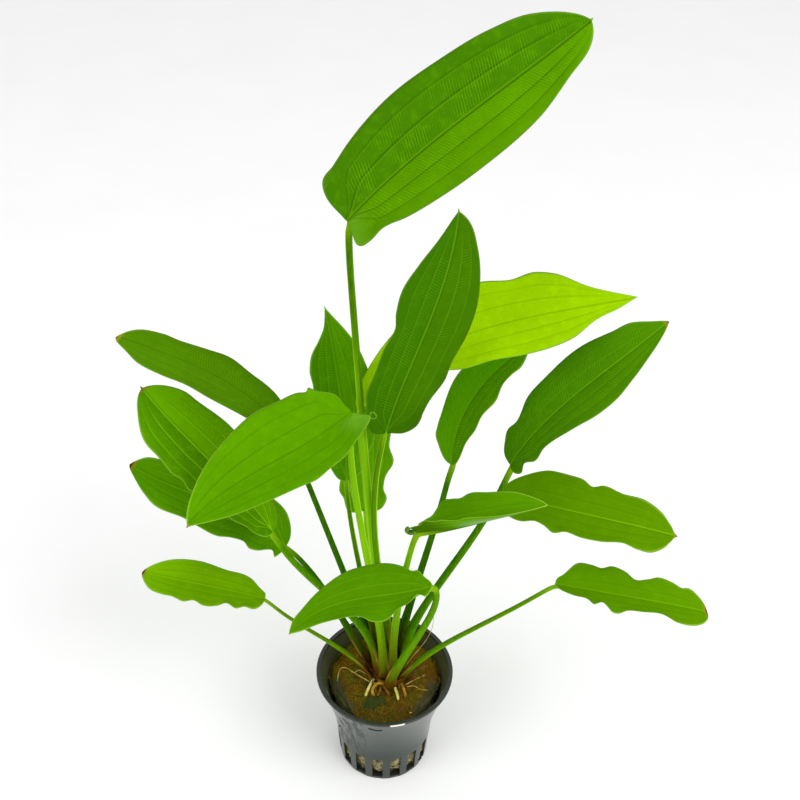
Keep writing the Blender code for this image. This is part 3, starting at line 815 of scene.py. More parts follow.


# The colours of the halves hold painted light and shade: one half lighter where more light falls on it,
# some blades lifted where others shade them.
LEAVES = [
    Leaf("top", base=(-14, 8, 249), tip=(57, 36, 302.4), width=39, belly=0.45, full=0.35,
         point=0.68, lobe=(2, 4.9), roll=-31, twist=-17, arch=(5, 0), sway=(-2.5, 0),
         fold=(18, 17), ring=0, around=0, rise=(-5, 2, 105), reach=(-10, 3, 188),
         left=(68, 124, 5), right=(89, 148, 2), shade="mid",
         left_edge=((0.05, 2.5), (0.1, 0.8), (0.17, 0.2), (0.35, -0.3), (0.54, -1), (0.72, 0),
                    (0.84, 1), (0.92, 0.7)),
         right_edge=((0.02, 1), (0.045, 1.3), (0.07, 0.8), (0.11, -0.5), (0.17, 0.3), (0.3, 0.5),
                     (0.5, 0), (0.67, -0.3), (0.82, -1), (0.97, 0.5)),
         frill=(0.3, -0.5), stalk=(74, 126, 3), middle_light=1.2, veins=0.35, furrow_shade=0.75, ribs=0.8,
         quilt=0.8, beak=1, rim=0.35, sheen=-0.15),
    Leaf("upright", base=(-1, 1, 172), tip=(20, 16, 249.7), width=30, belly=0.6, full=0.35,
         point=0.85, lobe=(0.5, 3), roll=-81, twist=-9, arch=(5, 4), sway=(-5, 5), fold=(8, 8),
         ring=INNER_RING, around=15, rise=(1, 2, 80), reach=(-11, -1, 134), left=(63, 121, 5),
         right=(68, 121, 4), shade="dark",
         left_edge=((0.15, 0), (0.21, 1), (0.32, -0.5), (0.41, -1), (0.49, -3), (0.57, 0),
                    (0.69, 2), (0.78, 0.5), (0.9, -1.5)),
         right_edge=((0.05, 3.2), (0.09, 2), (0.14, -0.3), (0.2, -1.5), (0.3, 0.5), (0.4, -1.5),
                     (0.52, 0), (0.76, -1), (0.86, -0.5), (0.95, 1)),
         frill=(0.5, -0.6), stalk=(70, 124, 5), middle_light=0.35, veins=0.75, sides=0.6, furrow_shade=0.2,
         ribs=1.1, tip_gain=1.0, beak=1, rim=0.35),
    # This leaf's bright yellow-green colours are painted light: they stand for light shining through the
    # blade from behind.
    Leaf("yellow", base=(-12, 23, 165), tip=(84.7, 38, 205.2), width=38, belly=0.5, full=0.55,
         point=1.15, lobe=(0.6, 0.6), roll=-10, twist=-28, arch=(19, 7), sway=(-7, -3),
         fold=(10, 10), ring=INNER_RING, around=122, rise=(-4, 14, 80), reach=(-8, 18, 131),
         left=(154, 203, 3), right=(156, 206, 3), shade="yellow",
         left_edge=((0.53, 0.5), (0.62, -1), (0.7, 1.5), (0.76, 1.5), (0.85, -1)),
         right_edge=((0.3, -2), (0.4, 0), (0.49, -0.5), (0.6, 0.5), (0.68, 1), (0.76, 1),
                     (0.85, -1), (0.95, 0)),
         frill=(0.3, -0.3), stalk=(112, 172, 8), middle_light=1.1, veins=0.1, furrow_shade=0.4, ribs=0.2,
         tip_gain=1.0),
    Leaf("back_left", base=(-16, 24, 129), tip=(-24, 41, 196), width=25, belly=0.45, full=0.6,
         point=1.05, lobe=(0.6, 0.6), roll=-1, twist=-11, arch=(3, 2), sway=(2, 1), fold=(9, 9),
         ring=INNER_RING, around=175, rise=(-4, 6, 71), reach=(-15, 17, 104), left=(82, 146, 4),
         right=(95, 160, 4), shade="dark",
         left_edge=((0.1, -1), (0.35, 0), (0.61, -1), (0.71, 1.5), (0.79, 1.5), (0.83, -0.5),
                    (0.9, -3), (0.95, -3)),
         right_edge=((0.05, 1), (0.17, -0.5), (0.22, 0.5), (0.33, 0), (0.61, 0.5), (0.77, 1)),
         frill=(0.5, -0.5), stalk=(56, 116, 2), thick=0.8, middle_light=0.2, veins=0.5, furrow_shade=0.3,
         ribs=0.8, beak=1),
    Leaf("back", base=(-9, 34, 104), tip=(-15, 52, 165), width=21, belly=0.4, full=0.4, point=0.85,
         lobe=(1, 2.5), roll=9, twist=-9, arch=(5, 4), sway=(-2, 6), fold=(10, 10),
         ring=INNER_RING, around=70, rise=(2, 12, 64), reach=(-8, 26, 86), left=(100, 163, 6),
         right=(102, 165, 6), shade="mid",
         left_edge=((0.04, 1), (0.14, 0), (0.17, 0.5), (0.27, -1)),
         right_edge=((0.04, 1), (0.09, 1.5), (0.2, -1.5), (0.29, -1), (0.33, 1), (0.48, -0.5),
                     (0.55, 0.5)),
         frill=(0.6, -0.8), middle_light=0.9, ribs=0.3, crease=0.6, rim_colour=(150, 200, 60)),
    Leaf("front_left", base=(-12, -7, 187), tip=(-64.7, -31, 156.6), width=36, belly=0.3, full=0.4,
         point=0.9, lobe=(4, 2.5), roll=13, twist=10, arch=(6, 6), sway=(-7, 3), fold=(21, 19),
         ring=INNER_RING, around=240, rise=(2, -14, 90), reach=(-17, 2, 151), left=(91, 156, 2),
         right=(94, 158, 2), shade="light",
         left_edge=((0.06, -1), (0.12, -1), (0.18, 0), (0.24, 0), (0.32, 0.5), (0.36, 0),
                    (0.51, -0.5), (0.76, 0)),
         right_edge=((0.06, -0.5), (0.085, 0), (0.105, 1.8), (0.125, 0.3), (0.16, 0.5), (0.27, 0),
                     (0.43, 1), (0.61, 0.5), (0.76, 0.5), (0.86, 0.5), (0.97, 0.5)),
         frill=(-0.4, 0.3), stalk=(104, 164, 6), middle_light=0.9, veins=0.15, furrow_shade=0.42, ribs=0.1,
         quilt=0.15, tip_gain=1.0, beak=0.6, pale=0.5, sheen=0.3, burnt=0.3),
    Leaf("folded", base=(10.4, -15, 142), tip=(52, -25, 165), width=25, belly=0.35, full=0.55,
         point=0.75, lobe=(2, 2), roll=12, twist=-28, arch=(0, -1), sway=(4, 0), fold=(36, 38),
         ring=INNER_RING, around=315, rise=(2, -7, 73), reach=(5, -11, 112), left=(93, 154, 3),
         right=(89, 140, 4), shade="mid",
         left_edge=((0.05, -2), (0.09, -2.6), (0.12, -2.4), (0.145, 1.4), (0.18, 1.6), (0.24, 0.4),
                    (0.34, -1), (0.4, -0.1), (0.58, -0.7), (0.8, -0.3), (0.92, -0.5)),
         right_edge=((0.08, -1.5), (0.15, -1.6), (0.22, 1), (0.28, -0.8), (0.33, 0.4),
                     (0.38, -0.9), (0.44, -1), (0.5, 1), (0.58, 1.3), (0.66, -0.4)),
         frill=(0.5, 0.8), stalk=(104, 156, 14), middle_light=0.3, veins=0.35, furrow_shade=0.2, ribs=0.2,
         quilt=0.3, rim=1.0, pale=0.9, pale_from=0.3, rim_colour=(150, 200, 60)),
    Leaf("far_left", base=(-34, 3, 167), tip=(-95, 26, 191), width=28, belly=0.4, full=0.55,
         point=0.65, lobe=(0.6, 0.6), roll=-12, twist=17, arch=(10, 4), sway=(2, 2), fold=(0, 3),
         ring=OUTER_RING, around=112, rise=(-14, 13, 78), reach=(-22, -2, 131), left=(82, 134, 7),
         right=(81, 133, 5), shade="dark",
         left_edge=((0.21, -0.5), (0.41, -0.5), (0.54, -1), (0.68, 0), (0.82, 0.5), (0.93, -0.5)),
         right_edge=((0.17, 1), (0.36, -0.5), (0.49, 0.5), (0.6, -0.5), (0.73, -0.5), (0.82, 1),
                     (0.96, 1.5)),
         frill=(-0.3, 0.3), stalk=(58, 116, 2), thick=0.85, veins=0.3, ribs=1.1, quilt=0.3,
         rim=0.35, burnt=0.4),
    Leaf("left_upper", base=(-42, 3, 122), tip=(-88, 22, 173), width=30, belly=0.55, full=0.5,
         point=0.6, lobe=(0.6, 0.6), roll=9, twist=22, arch=(6, 0), sway=(0, -2), fold=(9, 9),
         ring=5.2, around=190, rise=(0, 4, 76), reach=(-34, -2, 99), left=(86, 145, 4),
         right=(112, 176, 4), shade="mid",
         left_edge=((0.1, 0), (0.15, -0.5), (0.24, 0), (0.3, -1), (0.36, 0.5), (0.42, -0.6),
                    (0.48, 0.6), (0.54, -0.4), (0.6, 0.3), (0.67, 0), (0.8, 1), (0.92, 0)),
         right_edge=((0.12, -1), (0.2, 0), (0.53, 0), (0.75, -0.5), (0.84, 0.5), (0.92, 0.5)),
         frill=(-0.6, 0.4), stalk=(88, 150, 6), sheath=2.8, thick=1.05, veins=0.8, sides=0.8,
         furrow_shade=0.3, quilt=0.3, tip_gain=1.3, beak=1, burnt=0.8),
    Leaf("left_lower", base=(-39, 14, 103), tip=(-96, 21, 137), width=27, belly=0.45, full=0.5,
         point=0.7, lobe=(0.8, 0.8), roll=20, twist=6, arch=(10, 1), sway=(5, -3), fold=(9, 10),
         ring=OUTER_RING, around=150, rise=(-16, 7, 63), reach=(-24, 12, 88), left=(92, 156, 4),
         right=(92, 152, 4), shade="dark",
         left_edge=((0.02, 1.5), (0.09, -1), (0.16, 0.5), (0.21, 0.5), (0.26, -1), (0.34, -1),
                    (0.42, 0), (0.53, -0.5), (0.61, -1), (0.8, 0.5), (0.86, 0), (0.95, -0.5)),
         right_edge=((0.12, 1), (0.21, 0), (0.86, 0), (0.96, 1)),
         frill=(-0.7, 0.5), stalk=(62, 120, 4), thick=0.9, veins=0.7, furrow_shade=0.3, ribs=0.6,
         quilt=0.4, tip_gain=1.3, burnt=0.8),
    Leaf("left_small", base=(-46, -1, 90), tip=(-95, 11, 90), width=18.5, belly=0.45, full=0.5,
         point=0.7, lobe=(0.8, 0.8), roll=11, twist=12, arch=(5, 7), sway=(-2, -4), fold=(12, 11),
         ring=OUTER_RING, around=195, rise=(-13, 0, 62), reach=(-34, -5, 77), left=(106, 159, 2),
         right=(114, 166, 3), shade="light",
         left_edge=((0.07, 1), (0.14, 0), (0.18, 0.5), (0.26, -1), (0.31, 0), (0.36, 0.5),
                    (0.41, 0.5), (0.48, -0.5), (0.55, 0.5), (0.64, 0), (0.73, 0.5), (0.85, 1)),
         right_edge=((0.05, -1), (0.14, 0), (0.33, -1), (0.56, 0), (0.8, 0.5)),
         frill=(-0.7, 0.4), stalk=(106, 154, 6), sheath=1.6, thick=0.62, veins=0.4, sides=0.5,
         furrow_shade=0.25, ribs=0.2, quilt=0.2, tip_gain=1.3, burnt=1.0),
    Leaf("front", base=(16, -31, 132), tip=(-33, -35, 110), width=25, belly=0.4, full=0.75,
         point=0.85, lobe=(0, 0.5), roll=-4, twist=-9, arch=(-2, 8), sway=(3, 6), fold=(13, 14),
         ring=OUTER_RING, around=-80, rise=(4, -13, 72), reach=(24, -19, 109), left=(92, 152, 3),
         right=(91, 150, 4), shade="mid",
         left_edge=((0.03, 1), (0.08, -2), (0.14, -1), (0.21, -0.5), (0.26, 1.5), (0.32, 2),
                    (0.39, 1), (0.44, -0.5), (0.49, -1), (0.63, -0.5), (0.72, 0), (0.91, 1)),
         right_edge=((0.06, -0.5), (0.1, 0.5), (0.14, -0.5), (0.2, 0), (0.32, 0.5), (0.42, 0.5),
                     (0.55, 0.5), (0.72, -0.5), (0.86, -0.5), (0.95, 0.5)),
         frill=(-0.4, 0.5), stalk=(86, 140, 8), sheath=2.3, sides=0.5, furrow_shade=0.15, ribs=0.15,
         quilt=0.2, tip_gain=1.05),
    Leaf("right_upper", base=(43, 9, 152), tip=(93.6, 26, 203.4), width=31, belly=0.45, full=0.4,
         point=0.85, lobe=(1.1, 1.1), roll=1, twist=-19, arch=(8, -1), sway=(-1, -2),
         fold=(12, 11), ring=OUTER_RING, around=-6, rise=(1, 1, 77), reach=(38, 3, 121),
         left=(77, 134, 6), right=(77, 133, 5), shade="dark",
         left_edge=((0.06, 0), (0.1, 0.4), (0.16, -1.8), (0.28, -0.5), (0.4, -0.8), (0.62, 0),
                    (0.77, 0), (0.86, 1), (0.95, 0)),
         right_edge=((0.06, 1.5), (0.1, -0.5), (0.14, 1), (0.21, -0.5), (0.36, 0), (0.49, 1),
                     (0.6, 1), (0.72, 0), (0.83, -0.5)),
         frill=(0.4, -0.5), stalk=(72, 132, 4), veins=0.75, sides=0.5, furrow_shade=0.25, ribs=1.3,
         tip_gain=1.2, rim=0.35, burnt=0.4),
    Leaf("right_back", base=(23, 22, 140), tip=(50, 41, 182), width=22, belly=0.45, full=0.55,
         point=0.8, lobe=(0.6, 0.6), roll=4, twist=-4, arch=(8, 9), sway=(-6, -3), fold=(11, 10),
         ring=OUTER_RING, around=66, rise=(9, 16, 73), reach=(19, 16, 112), left=(98, 168, 5),
         right=(89, 147, 4), shade="dark",
         left_edge=((0.05, 0.4), (0.09, 0.7), (0.14, 1.4), (0.19, 0.7), (0.27, -0.3), (0.57, 0.5)),
         right_edge=((0.08, 0), (0.21, -0.5), (0.33, 0), (0.44, -0.5), (0.6, 0.5), (0.71, -0.5),
                     (0.79, 0), (0.86, 1)),
         frill=(0.5, -0.7), stalk=(66, 126, 4), veins=0.65, furrow_shade=0.25, ribs=1.1),
    Leaf("right_middle", base=(41, 15, 133), tip=(105.8, 3, 124.6), width=28, belly=0.25,
         full=0.55, point=0.6, lobe=(0.6, 0.6), roll=-9, twist=-21, arch=(7, 6), sway=(7, 4),
         fold=(10, 12), ring=OUTER_RING, around=30, rise=(3, 6, 68), reach=(31, 8, 105),
         left=(96, 147, 2), right=(95, 147, 2), shade="mid",
         left_edge=((0.06, 0.1), (0.23, 1.3), (0.35, 1.1), (0.44, 0.6), (0.49, -0.9), (0.56, 0.7),
                    (0.67, 0.4), (0.8, 1.9), (0.9, 1.5), (0.96, 0.2)),
         right_edge=((0.18, 0), (0.24, -1.6), (0.28, -1.1), (0.33, 0.4), (0.38, -0.8),
                     (0.46, -0.2), (0.56, -0.2), (0.67, -0.7), (0.76, 1), (0.84, 2), (0.92, 1.2),
                     (0.96, -0.1)),
         frill=(0.4, -0.6), veins=0.75, sides=0.25, furrow_shade=0.25, ribs=0.2, quilt=0.3, tip_gain=1.0,
         beak=1.4, flare=2.4, burnt=0.5),
    Leaf("right_low", base=(61, -12, 114), tip=(118.5, -11, 99.8), width=22, belly=0.3, full=0.55,
         point=0.5, lobe=(0.6, 0.6), roll=0, twist=-22, arch=(3, 9), sway=(3, 8), fold=(13, 15),
         ring=OUTER_RING, around=-42, rise=(12, -7, 71), reach=(42, -14, 95), left=(99, 154, 2),
         right=(97, 151, 3), shade="mid",
         left_edge=((0.05, -0.5), (0.12, 2), (0.21, 1), (0.27, 0), (0.33, 1), (0.42, 0),
                    (0.49, -2), (0.57, -1), (0.64, 0.5), (0.74, 0.5), (0.81, 0), (0.86, 1),
                    (0.95, 0.5)),
         right_edge=((0.11, -0.5), (0.19, -1), (0.22, 0), (0.27, -1.5), (0.33, 1), (0.36, 1),
                     (0.41, -0.5), (0.49, -1), (0.6, -1.5), (0.7, 0.5), (0.78, 1), (0.84, 1)),
         frill=(0.6, -0.6), stalk=(92, 146, 6), sheath=1.9, thick=0.72, veins=0.5, sides=0.3,
         furrow_shade=0.25, ribs=0.15, quilt=0.2, tip_gain=1.0, burnt=0.8),
]


def bezier(a, b, c, d, t):
    """A curve from a to d, with the handles b and c."""
    return a * (1 - t) ** 3 + b * 3 * t * (1 - t) ** 2 + c * 3 * t * t * (1 - t) + d * t ** 3


def bezier_slope(a, b, c, d, t):
    """The way that the curve heads at t."""
    return (b - a) * (1 - t) ** 2 + (c - b) * 2 * t * (1 - t) + (d - c) * t * t


def through(points, t):
    """A smooth line through (place, height) points, which starts and ends at 0."""
    places, heights = np.array([(0, 0), *points, (1, 0)], float).T
    slopes = 0.8 * np.gradient(heights, places)
    span = np.clip(np.searchsorted(places, t, side="right") - 1, 0, len(places) - 2)
    gap = places[span + 1] - places[span]
    s = (t - places[span]) / gap
    rise = heights[span] * (1 + 2 * s) * (1 - s) ** 2 + heights[span + 1] * s * s * (3 - 2 * s)
    return rise + gap * (slopes[span] * s * (1 - s) ** 2 - slopes[span + 1] * s * s * (1 - s))


def leaf_length(leaf):
    return float(np.linalg.norm(np.subtract(leaf.tip, leaf.base)))


def half_width(leaf, t):
    """Half the blade's width along it, with a little drawn-out tip at the end."""
    beak = leaf.beak / leaf_length(leaf)
    body = np.clip(t / (1 - beak), 0, 1)
    near = 1 - (1 - np.clip(body / leaf.belly, 0, 1)) ** 2
    far = 1 - np.clip((body - leaf.belly) / (1 - leaf.belly), 0, 1) ** 2
    oval = leaf.width / 2 * near ** leaf.full * far ** leaf.point
    cone = leaf.flare * (0.35 + 0.35 * leaf.beak)
    return np.hypot(oval, cone * np.clip((1 - t) / (beak + 0.02), 0, 1) ** 0.8)


def blade_sheet(leaf, t, v):
    """The middle of the blade's thickness at t along it and v across it, from -1 to 1, with the
    direction that its upper side faces."""
    base, tip = np.array(leaf.base, float), np.array(leaf.tip, float)
    chord = tip - base
    ahead = unit(chord)
    level = unit(np.cross(ahead, [0, 0, 1.0]))
    up = np.cross(level, ahead)
    roll = math.radians(leaf.roll)
    side = level * math.cos(roll) + up * math.sin(roll)
    face = np.cross(side, ahead)
    handles = [base + chord * (1 + i) / 3 + face * leaf.arch[i] + side * leaf.sway[i] for i in (0, 1)]
    margin = np.where(v < 0, through(leaf.left_edge, t), through(leaf.right_edge, t))[..., None]
    t, v = t[..., None], v[..., None]
    midrib = bezier(base, *handles, tip, t)
    forward = unit(bezier_slope(base, *handles, tip, t))
    turn = np.radians(leaf.twist) * (t - 0.5)
    outward = side * np.cos(turn) + face * np.sin(turn)
    outward = unit(outward - forward * (outward * forward).sum(-1, keepdims=True))
    lift = np.cross(outward, forward)
    half = half_width(leaf, t)
    fold = np.radians(np.where(v < 0, leaf.fold[0], leaf.fold[1]))
    bend = np.sqrt(v * v + 0.01) - 0.1
    close = t / LOBE_PLACE
    back = np.where(v < 0, leaf.lobe[0], leaf.lobe[1]) * close * np.exp(1 - close) * v ** 2
    wave = margin * np.abs(v) ** 3
    frill = wave * np.where(v < 0, leaf.frill[0], leaf.frill[1])
    sheet = midrib + outward * (half * v * np.cos(fold) + wave * np.sign(v)) - forward * back
    return sheet + lift * (half * bend * np.sin(fold) + frill), lift


def vein_shape(leaf, t, v, half):
    """How far the upper side sinks along the veins and swells between them."""
    depth, spread = MIDRIB_GROOVE
    sunk = depth * np.exp(-(v * half / spread) ** 2)
    fan = np.interp(t, VEIN_FAN, [0, 1])
    fan = fan * fan * (3 - 2 * fan)
    depth, spread = VEIN_GROOVE
    for place in SIDE_VEINS:
        gap = (np.abs(v) - place * fan) * half
        sunk = sunk + depth * np.exp(-(gap / spread) ** 2) * np.clip((0.97 - t) / 0.2, 0, 1)
    between = np.interp(np.abs(v), [0, *SIDE_VEINS, 1], [0, 1, 2, 3])
    swell = SWELL * half * np.sin(np.pi * (between % 1)) ** 2
    return (swell - sunk) * leaf.quilt


def both_sides(upper, lower):
    """Rings that run over the upper side of a blade and back over its lower side."""
    return np.concatenate([upper, lower[:, -2:0:-1]], axis=1)


def make_blade(leaf):
    """Two sides with the veins' relief and a keel below, over rows that crowd at both ends."""
    rows = int(leaf_length(leaf) * 1.4) + 24
    t = (1 - np.cos(np.pi * np.linspace(0.012, 0.988, rows))) / 2
    veins = [side * place for place in (0, *SIDE_VEINS) for side in (-1, 1)]
    beside = [place + step for place in veins for step in (-0.03, 0, 0.03)]
    v = np.unique(np.round(np.concatenate([np.linspace(-1, 1, 33), beside]), 3))
    tt, vv = np.meshgrid(t, v, indexing="ij")
    sheet, _ = blade_sheet(leaf, tt, vv)
    up = unit(np.cross(np.gradient(sheet, axis=1), np.gradient(sheet, axis=0)))
    half = half_width(leaf, tt)
    thick = BLADE_THICKNESS / 2 * (1 - 0.7 * vv ** 4)
    keel = KEEL_HEIGHT * (1 - tt) ** 1.2 * np.exp(-(vv * half / (0.45 + 0.5 * (1 - tt))) ** 2)
    relief = vein_shape(leaf, tt, vv, half)
    upper = sheet + up * (thick + relief)[..., None]
    lower = sheet - up * (thick + keel - 0.3 * relief)[..., None]
    ends = blade_sheet(leaf, np.array([0.0, 1.0]), np.zeros(2))[0]
    tags = {
        "along": (both_sides(tt, tt), [0, 1]),
        "across": (both_sides(vv, vv), [0, 0]),
        "half": (both_sides(half, half), [1, 0.1]),
        "under": (both_sides(0 * tt, 0 * tt + 1), [0, 0]),
    }
    return skin("blade_" + leaf.name, both_sides(upper, lower), ends, tags)


def lit(colour, gain):
    """A colour made brighter or darker."""
    return (*(min(1.0, part * gain) for part in colour[:3]), 1.0)


def hazy(colour, haze):
    """The paler colour of a vein, or of the painted highlight down a stalk's side."""
    return (*(part * 1.5 + veil for part, veil in zip(colour, haze)), 1.0)


class BladePaint(Paint):
    """A blade's material. It holds the places and the noises that the parts of its look share."""

    def __init__(self, leaf):
        super().__init__("blade_" + leaf.name)
        self.leaf = leaf
        self.left, self.right, self.margin = rgb(*leaf.left), rgb(*leaf.right), rgb(*leaf.rim_colour)
        self.spot = self.place()
        self.along, self.across = self.tagged("along"), self.tagged("across")
        self.half, self.under = self.tagged("half"), self.tagged("under")
        self.off_centre = abs(self.across)
        self.cloud = self.noise(self.spot, 14, 3)
        self.blotch = self.noise(self.spot, 3.2, 3)
        self.fine = self.noise(self.spot, 0.9, 3, 0.6)
        self.edge = self.ramp((1 - self.off_centre) * self.half, 0.6, 0.2)

    def veins(self):
        """The pale lines of the midrib and the side veins, and the painted shade in the furrows beside
        them.
        """
        line = self.ramp(abs(self.across * self.half + 0.1), 0.46, 0.16)
        furrow_shade = self.ramp(abs(self.across * self.half - 0.3), 0.75, 0.2)
        fan = self.ramp(self.along, *VEIN_FAN)
        for place, strength in zip(SIDE_VEINS, (1.0, 0.6)):
            gap = (self.off_centre - place * fan) * self.half
            fading = self.ramp(self.along, 1.0, 0.75) * strength
            line = line.or_more(self.ramp(abs(gap), 0.36, 0.12) * fading * self.leaf.sides)
            furrow_shade = furrow_shade.or_more(self.ramp(abs(gap - 0.35), 0.6, 0.15) * fading * 0.8)
        return line, furrow_shade

    def veinlets(self):
        """Fine slanting ribs about a millimetre apart, stronger in some patches than in others."""
        slant = self.along * (leaf_length(self.leaf) / 0.95) - self.off_centre * self.half * 0.4
        slant = slant + 0.5 * self.fine + 0.6 * self.blotch
        rib = self.ramp(abs(slant.math("FRACT", slant) - 0.5), 0.3, 0.08)
        patch = 0.2 + 0.8 * self.ramp(self.noise(self.spot, 7, 3, 0.6), 0.42, 0.62)
        inner = self.ramp(self.off_centre, 0.8, 0.6) * self.ramp(self.off_centre * self.half, 0.4, 1.0)
        return rib * patch * inner * self.ramp(self.along, 0.03, 0.12)

    def mottled(self):
        """The colours of the two halves, lighter to the tip, with darker and brighter places."""
        left, right, tip_gain = self.left, self.right, self.leaf.tip_gain
        on_right = self.ramp(self.across, -0.05, 0.05)
        body = self.mix(on_right, left, right)
        if tip_gain > 1:
            tip = self.mix(on_right, lit(left, tip_gain), lit(right, tip_gain))
            body = self.mix(self.ramp(self.along, 0.4, 1.0), body, tip)
        deep, bright = lit(left, 0.72), lit(right, 1.45)
        body = self.mix(self.ramp(self.cloud, 0.35, 0.65) * 0.25, body, deep)
        body = self.mix(self.ramp(self.blotch, 0.45, 0.75) * 0.22, body, bright)
        body = self.mix(self.ramp(self.fine, 0.55, 0.8) * 0.25, body, bright)
        return self.mix(self.ramp(self.fine, 0.45, 0.2) * 0.3, body, deep)

    def bright_corner(self, body):
        """A sheen on the lower left corner, or on the lower right one."""
        side = math.copysign(1, self.leaf.sheen)
        low = self.ramp(self.along * leaf_length(self.leaf), 8.5, 1.2)
        corner = low * self.ramp(self.across * side, -0.02, -0.3)
        return self.mix(corner * abs(self.leaf.sheen), body, rgb(144, 200, 70))

    def creased(self, body):
        """A pale line with a painted shade line beside it, where the blade's sides bend forward."""
        gap = (self.off_centre - self.leaf.crease + 0.5 * (self.blotch - 0.5)) * self.half
        shown = self.ramp(self.along, 0.5, 0.56).or_more(self.ramp(self.across, 0, -0.1))
        body = self.mix(self.ramp(abs(gap), 0.42, 0.2) * shown * 0.9, body, self.margin)
        # Painted shade beside the crease.
        return self.mix(self.ramp(abs(gap - 0.7), 0.8, 0.2) * shown * 0.5, body, lit(self.left, 0.55))

    def underside(self, furrow_shade):
        """Paler than the upper side, and whitish along the middle, partly its own paler colour and
        partly a painted sheen. Where pale_from is set, it is painted shaded before that place.
        """
        pale, start = self.leaf.pale, self.leaf.pale_from
        back = self.mix(furrow_shade * 0.6, lit(self.left, 1.15), self.margin)
        if start:
            shaded = self.ramp(self.along, start + 0.15, start - 0.15)
            back = self.mix(shaded * 0.8, back, lit(self.left, 0.4))
        # Whitish along the middle: partly the underside's own paler colour, partly a painted sheen.
        paler_with_sheen = self.ramp(self.off_centre, 0.85, 0.1) * self.ramp(self.along, start, start + 0.25)
        return self.mix(paler_with_sheen * pale, back, UNDERSIDE)

    def burnt_tip(self, body):
        """The tip is brown, with a yellow band before it."""
        start = 1 - 1.2 * self.leaf.burnt / leaf_length(self.leaf)
        ragged = self.along + 0.01 * self.fine
        body = self.mix(self.ramp(ragged, start - 0.02, start), body, rgb(150, 150, 30))
        return self.mix(self.ramp(ragged, start, start + 0.01), body, rgb(92, 52, 22))


def blade_finish(leaf):
    paint = BladePaint(leaf)
    line, furrow_shade = paint.veins()
    rib = paint.veinlets()
    # Painted shade darkens the furrows beside the veins.
    body = paint.mix(furrow_shade * leaf.furrow_shade, paint.mottled(), lit(paint.left, 0.45))
    body = paint.mix(rib * (0.5 * leaf.ribs), body, lit(paint.right, 1.7))
    body = paint.mix(line * leaf.veins, body, hazy(paint.right, (0.05, 0.06, 0.004)))
    if leaf.sheen:
        body = paint.bright_corner(body)
    if leaf.crease:
        body = paint.creased(body)
    body = paint.mix(paint.under, body, paint.underside(furrow_shade))
    body = paint.mix(paint.edge * leaf.rim, body, paint.margin)
    if leaf.burnt:
        body = paint.burnt_tip(body)
    relief = paint.fine * 0.15 - furrow_shade * (0.4 * leaf.furrow_shade)
    relief = relief + line * (0.3 * leaf.veins) + rib * (0.4 * leaf.ribs)
    return paint.finish(body, 0.42 + 0.12 * paint.cloud + 0.1 * paint.under, relief=relief,
                        depth=0.22, gloss=0.0, glow=lit(paint.right, 1.5), share=0.16)


for leaf in LEAVES:
    fit(make_blade(leaf), blade_finish(leaf), "leaf_" + leaf.shade, "leaf_" + leaf.name)

# STALKS
# The firm ribbed stalk of each leaf, which grows out of the crown and runs on below the blade as
# its keel. Its foot is a wide sheath, hollow towards the crown and stained brown by the wool.
STALK_BOTTOM = 44.6
STALK_STAGES = (0, 0.2, 0.5, 0.9, 1.0)
STALK_RADII = (1.7, 1.55, 1.3, 1.05, 1.1)
STALK_ROWS = 72
STALK_SIDES = 28
STALK_RIBS = 7
KEEL_END = 0.85
KEEL_ROWS = 34
SHEATH_REACH = 9
# The direction, looking in from the front and down, along which the painted edge highlights are set.
EDGE_LIGHT_VIEW = (0, 0.8, -0.6)


def stalk_path(leaf, out):
    """The stalk's middle line, up from the crown and on beneath the midrib, and its radius along
    it. With them come the length gone at each point and the bare length below the blade."""
    foot = np.array([*CROWN_CENTRE, STALK_BOTTOM]) + out * leaf.ring
    rise, reach, base = (np.array(point, float) for point in (leaf.rise, leaf.reach, leaf.base))
    climb = bezier(foot, rise, reach, base, np.linspace(0, 1, STALK_ROWS)[:-1, None] ** 1.25)
    keel, up = blade_sheet(leaf, np.linspace(0, KEEL_END, KEEL_ROWS), np.zeros(KEEL_ROWS))
    path = np.concatenate([climb, keel])
    up = np.concatenate([np.repeat(up[:1], len(climb), 0), up])
    gone = np.concatenate([[0], np.cumsum(np.linalg.norm(np.diff(path, axis=0), axis=1))])
    bare = gone[len(climb)]
    slim = np.concatenate([np.ones(len(climb)), np.linspace(1, 0, len(keel)) ** 1.6 * 0.85 + 0.08])
    radius = np.interp(gone / bare, STALK_STAGES, STALK_RADII) * leaf.thick * slim
    settle = np.clip((gone / bare - 0.9) / 0.1, 0, 1) ** 2
    path = path - up * (settle * (radius + 0.05))[:, None]
    for _ in range(2):
        path[1:-1] = (path[:-2] + 2 * path[1:-1] + path[2:]) / 4
    return path, radius, gone, bare


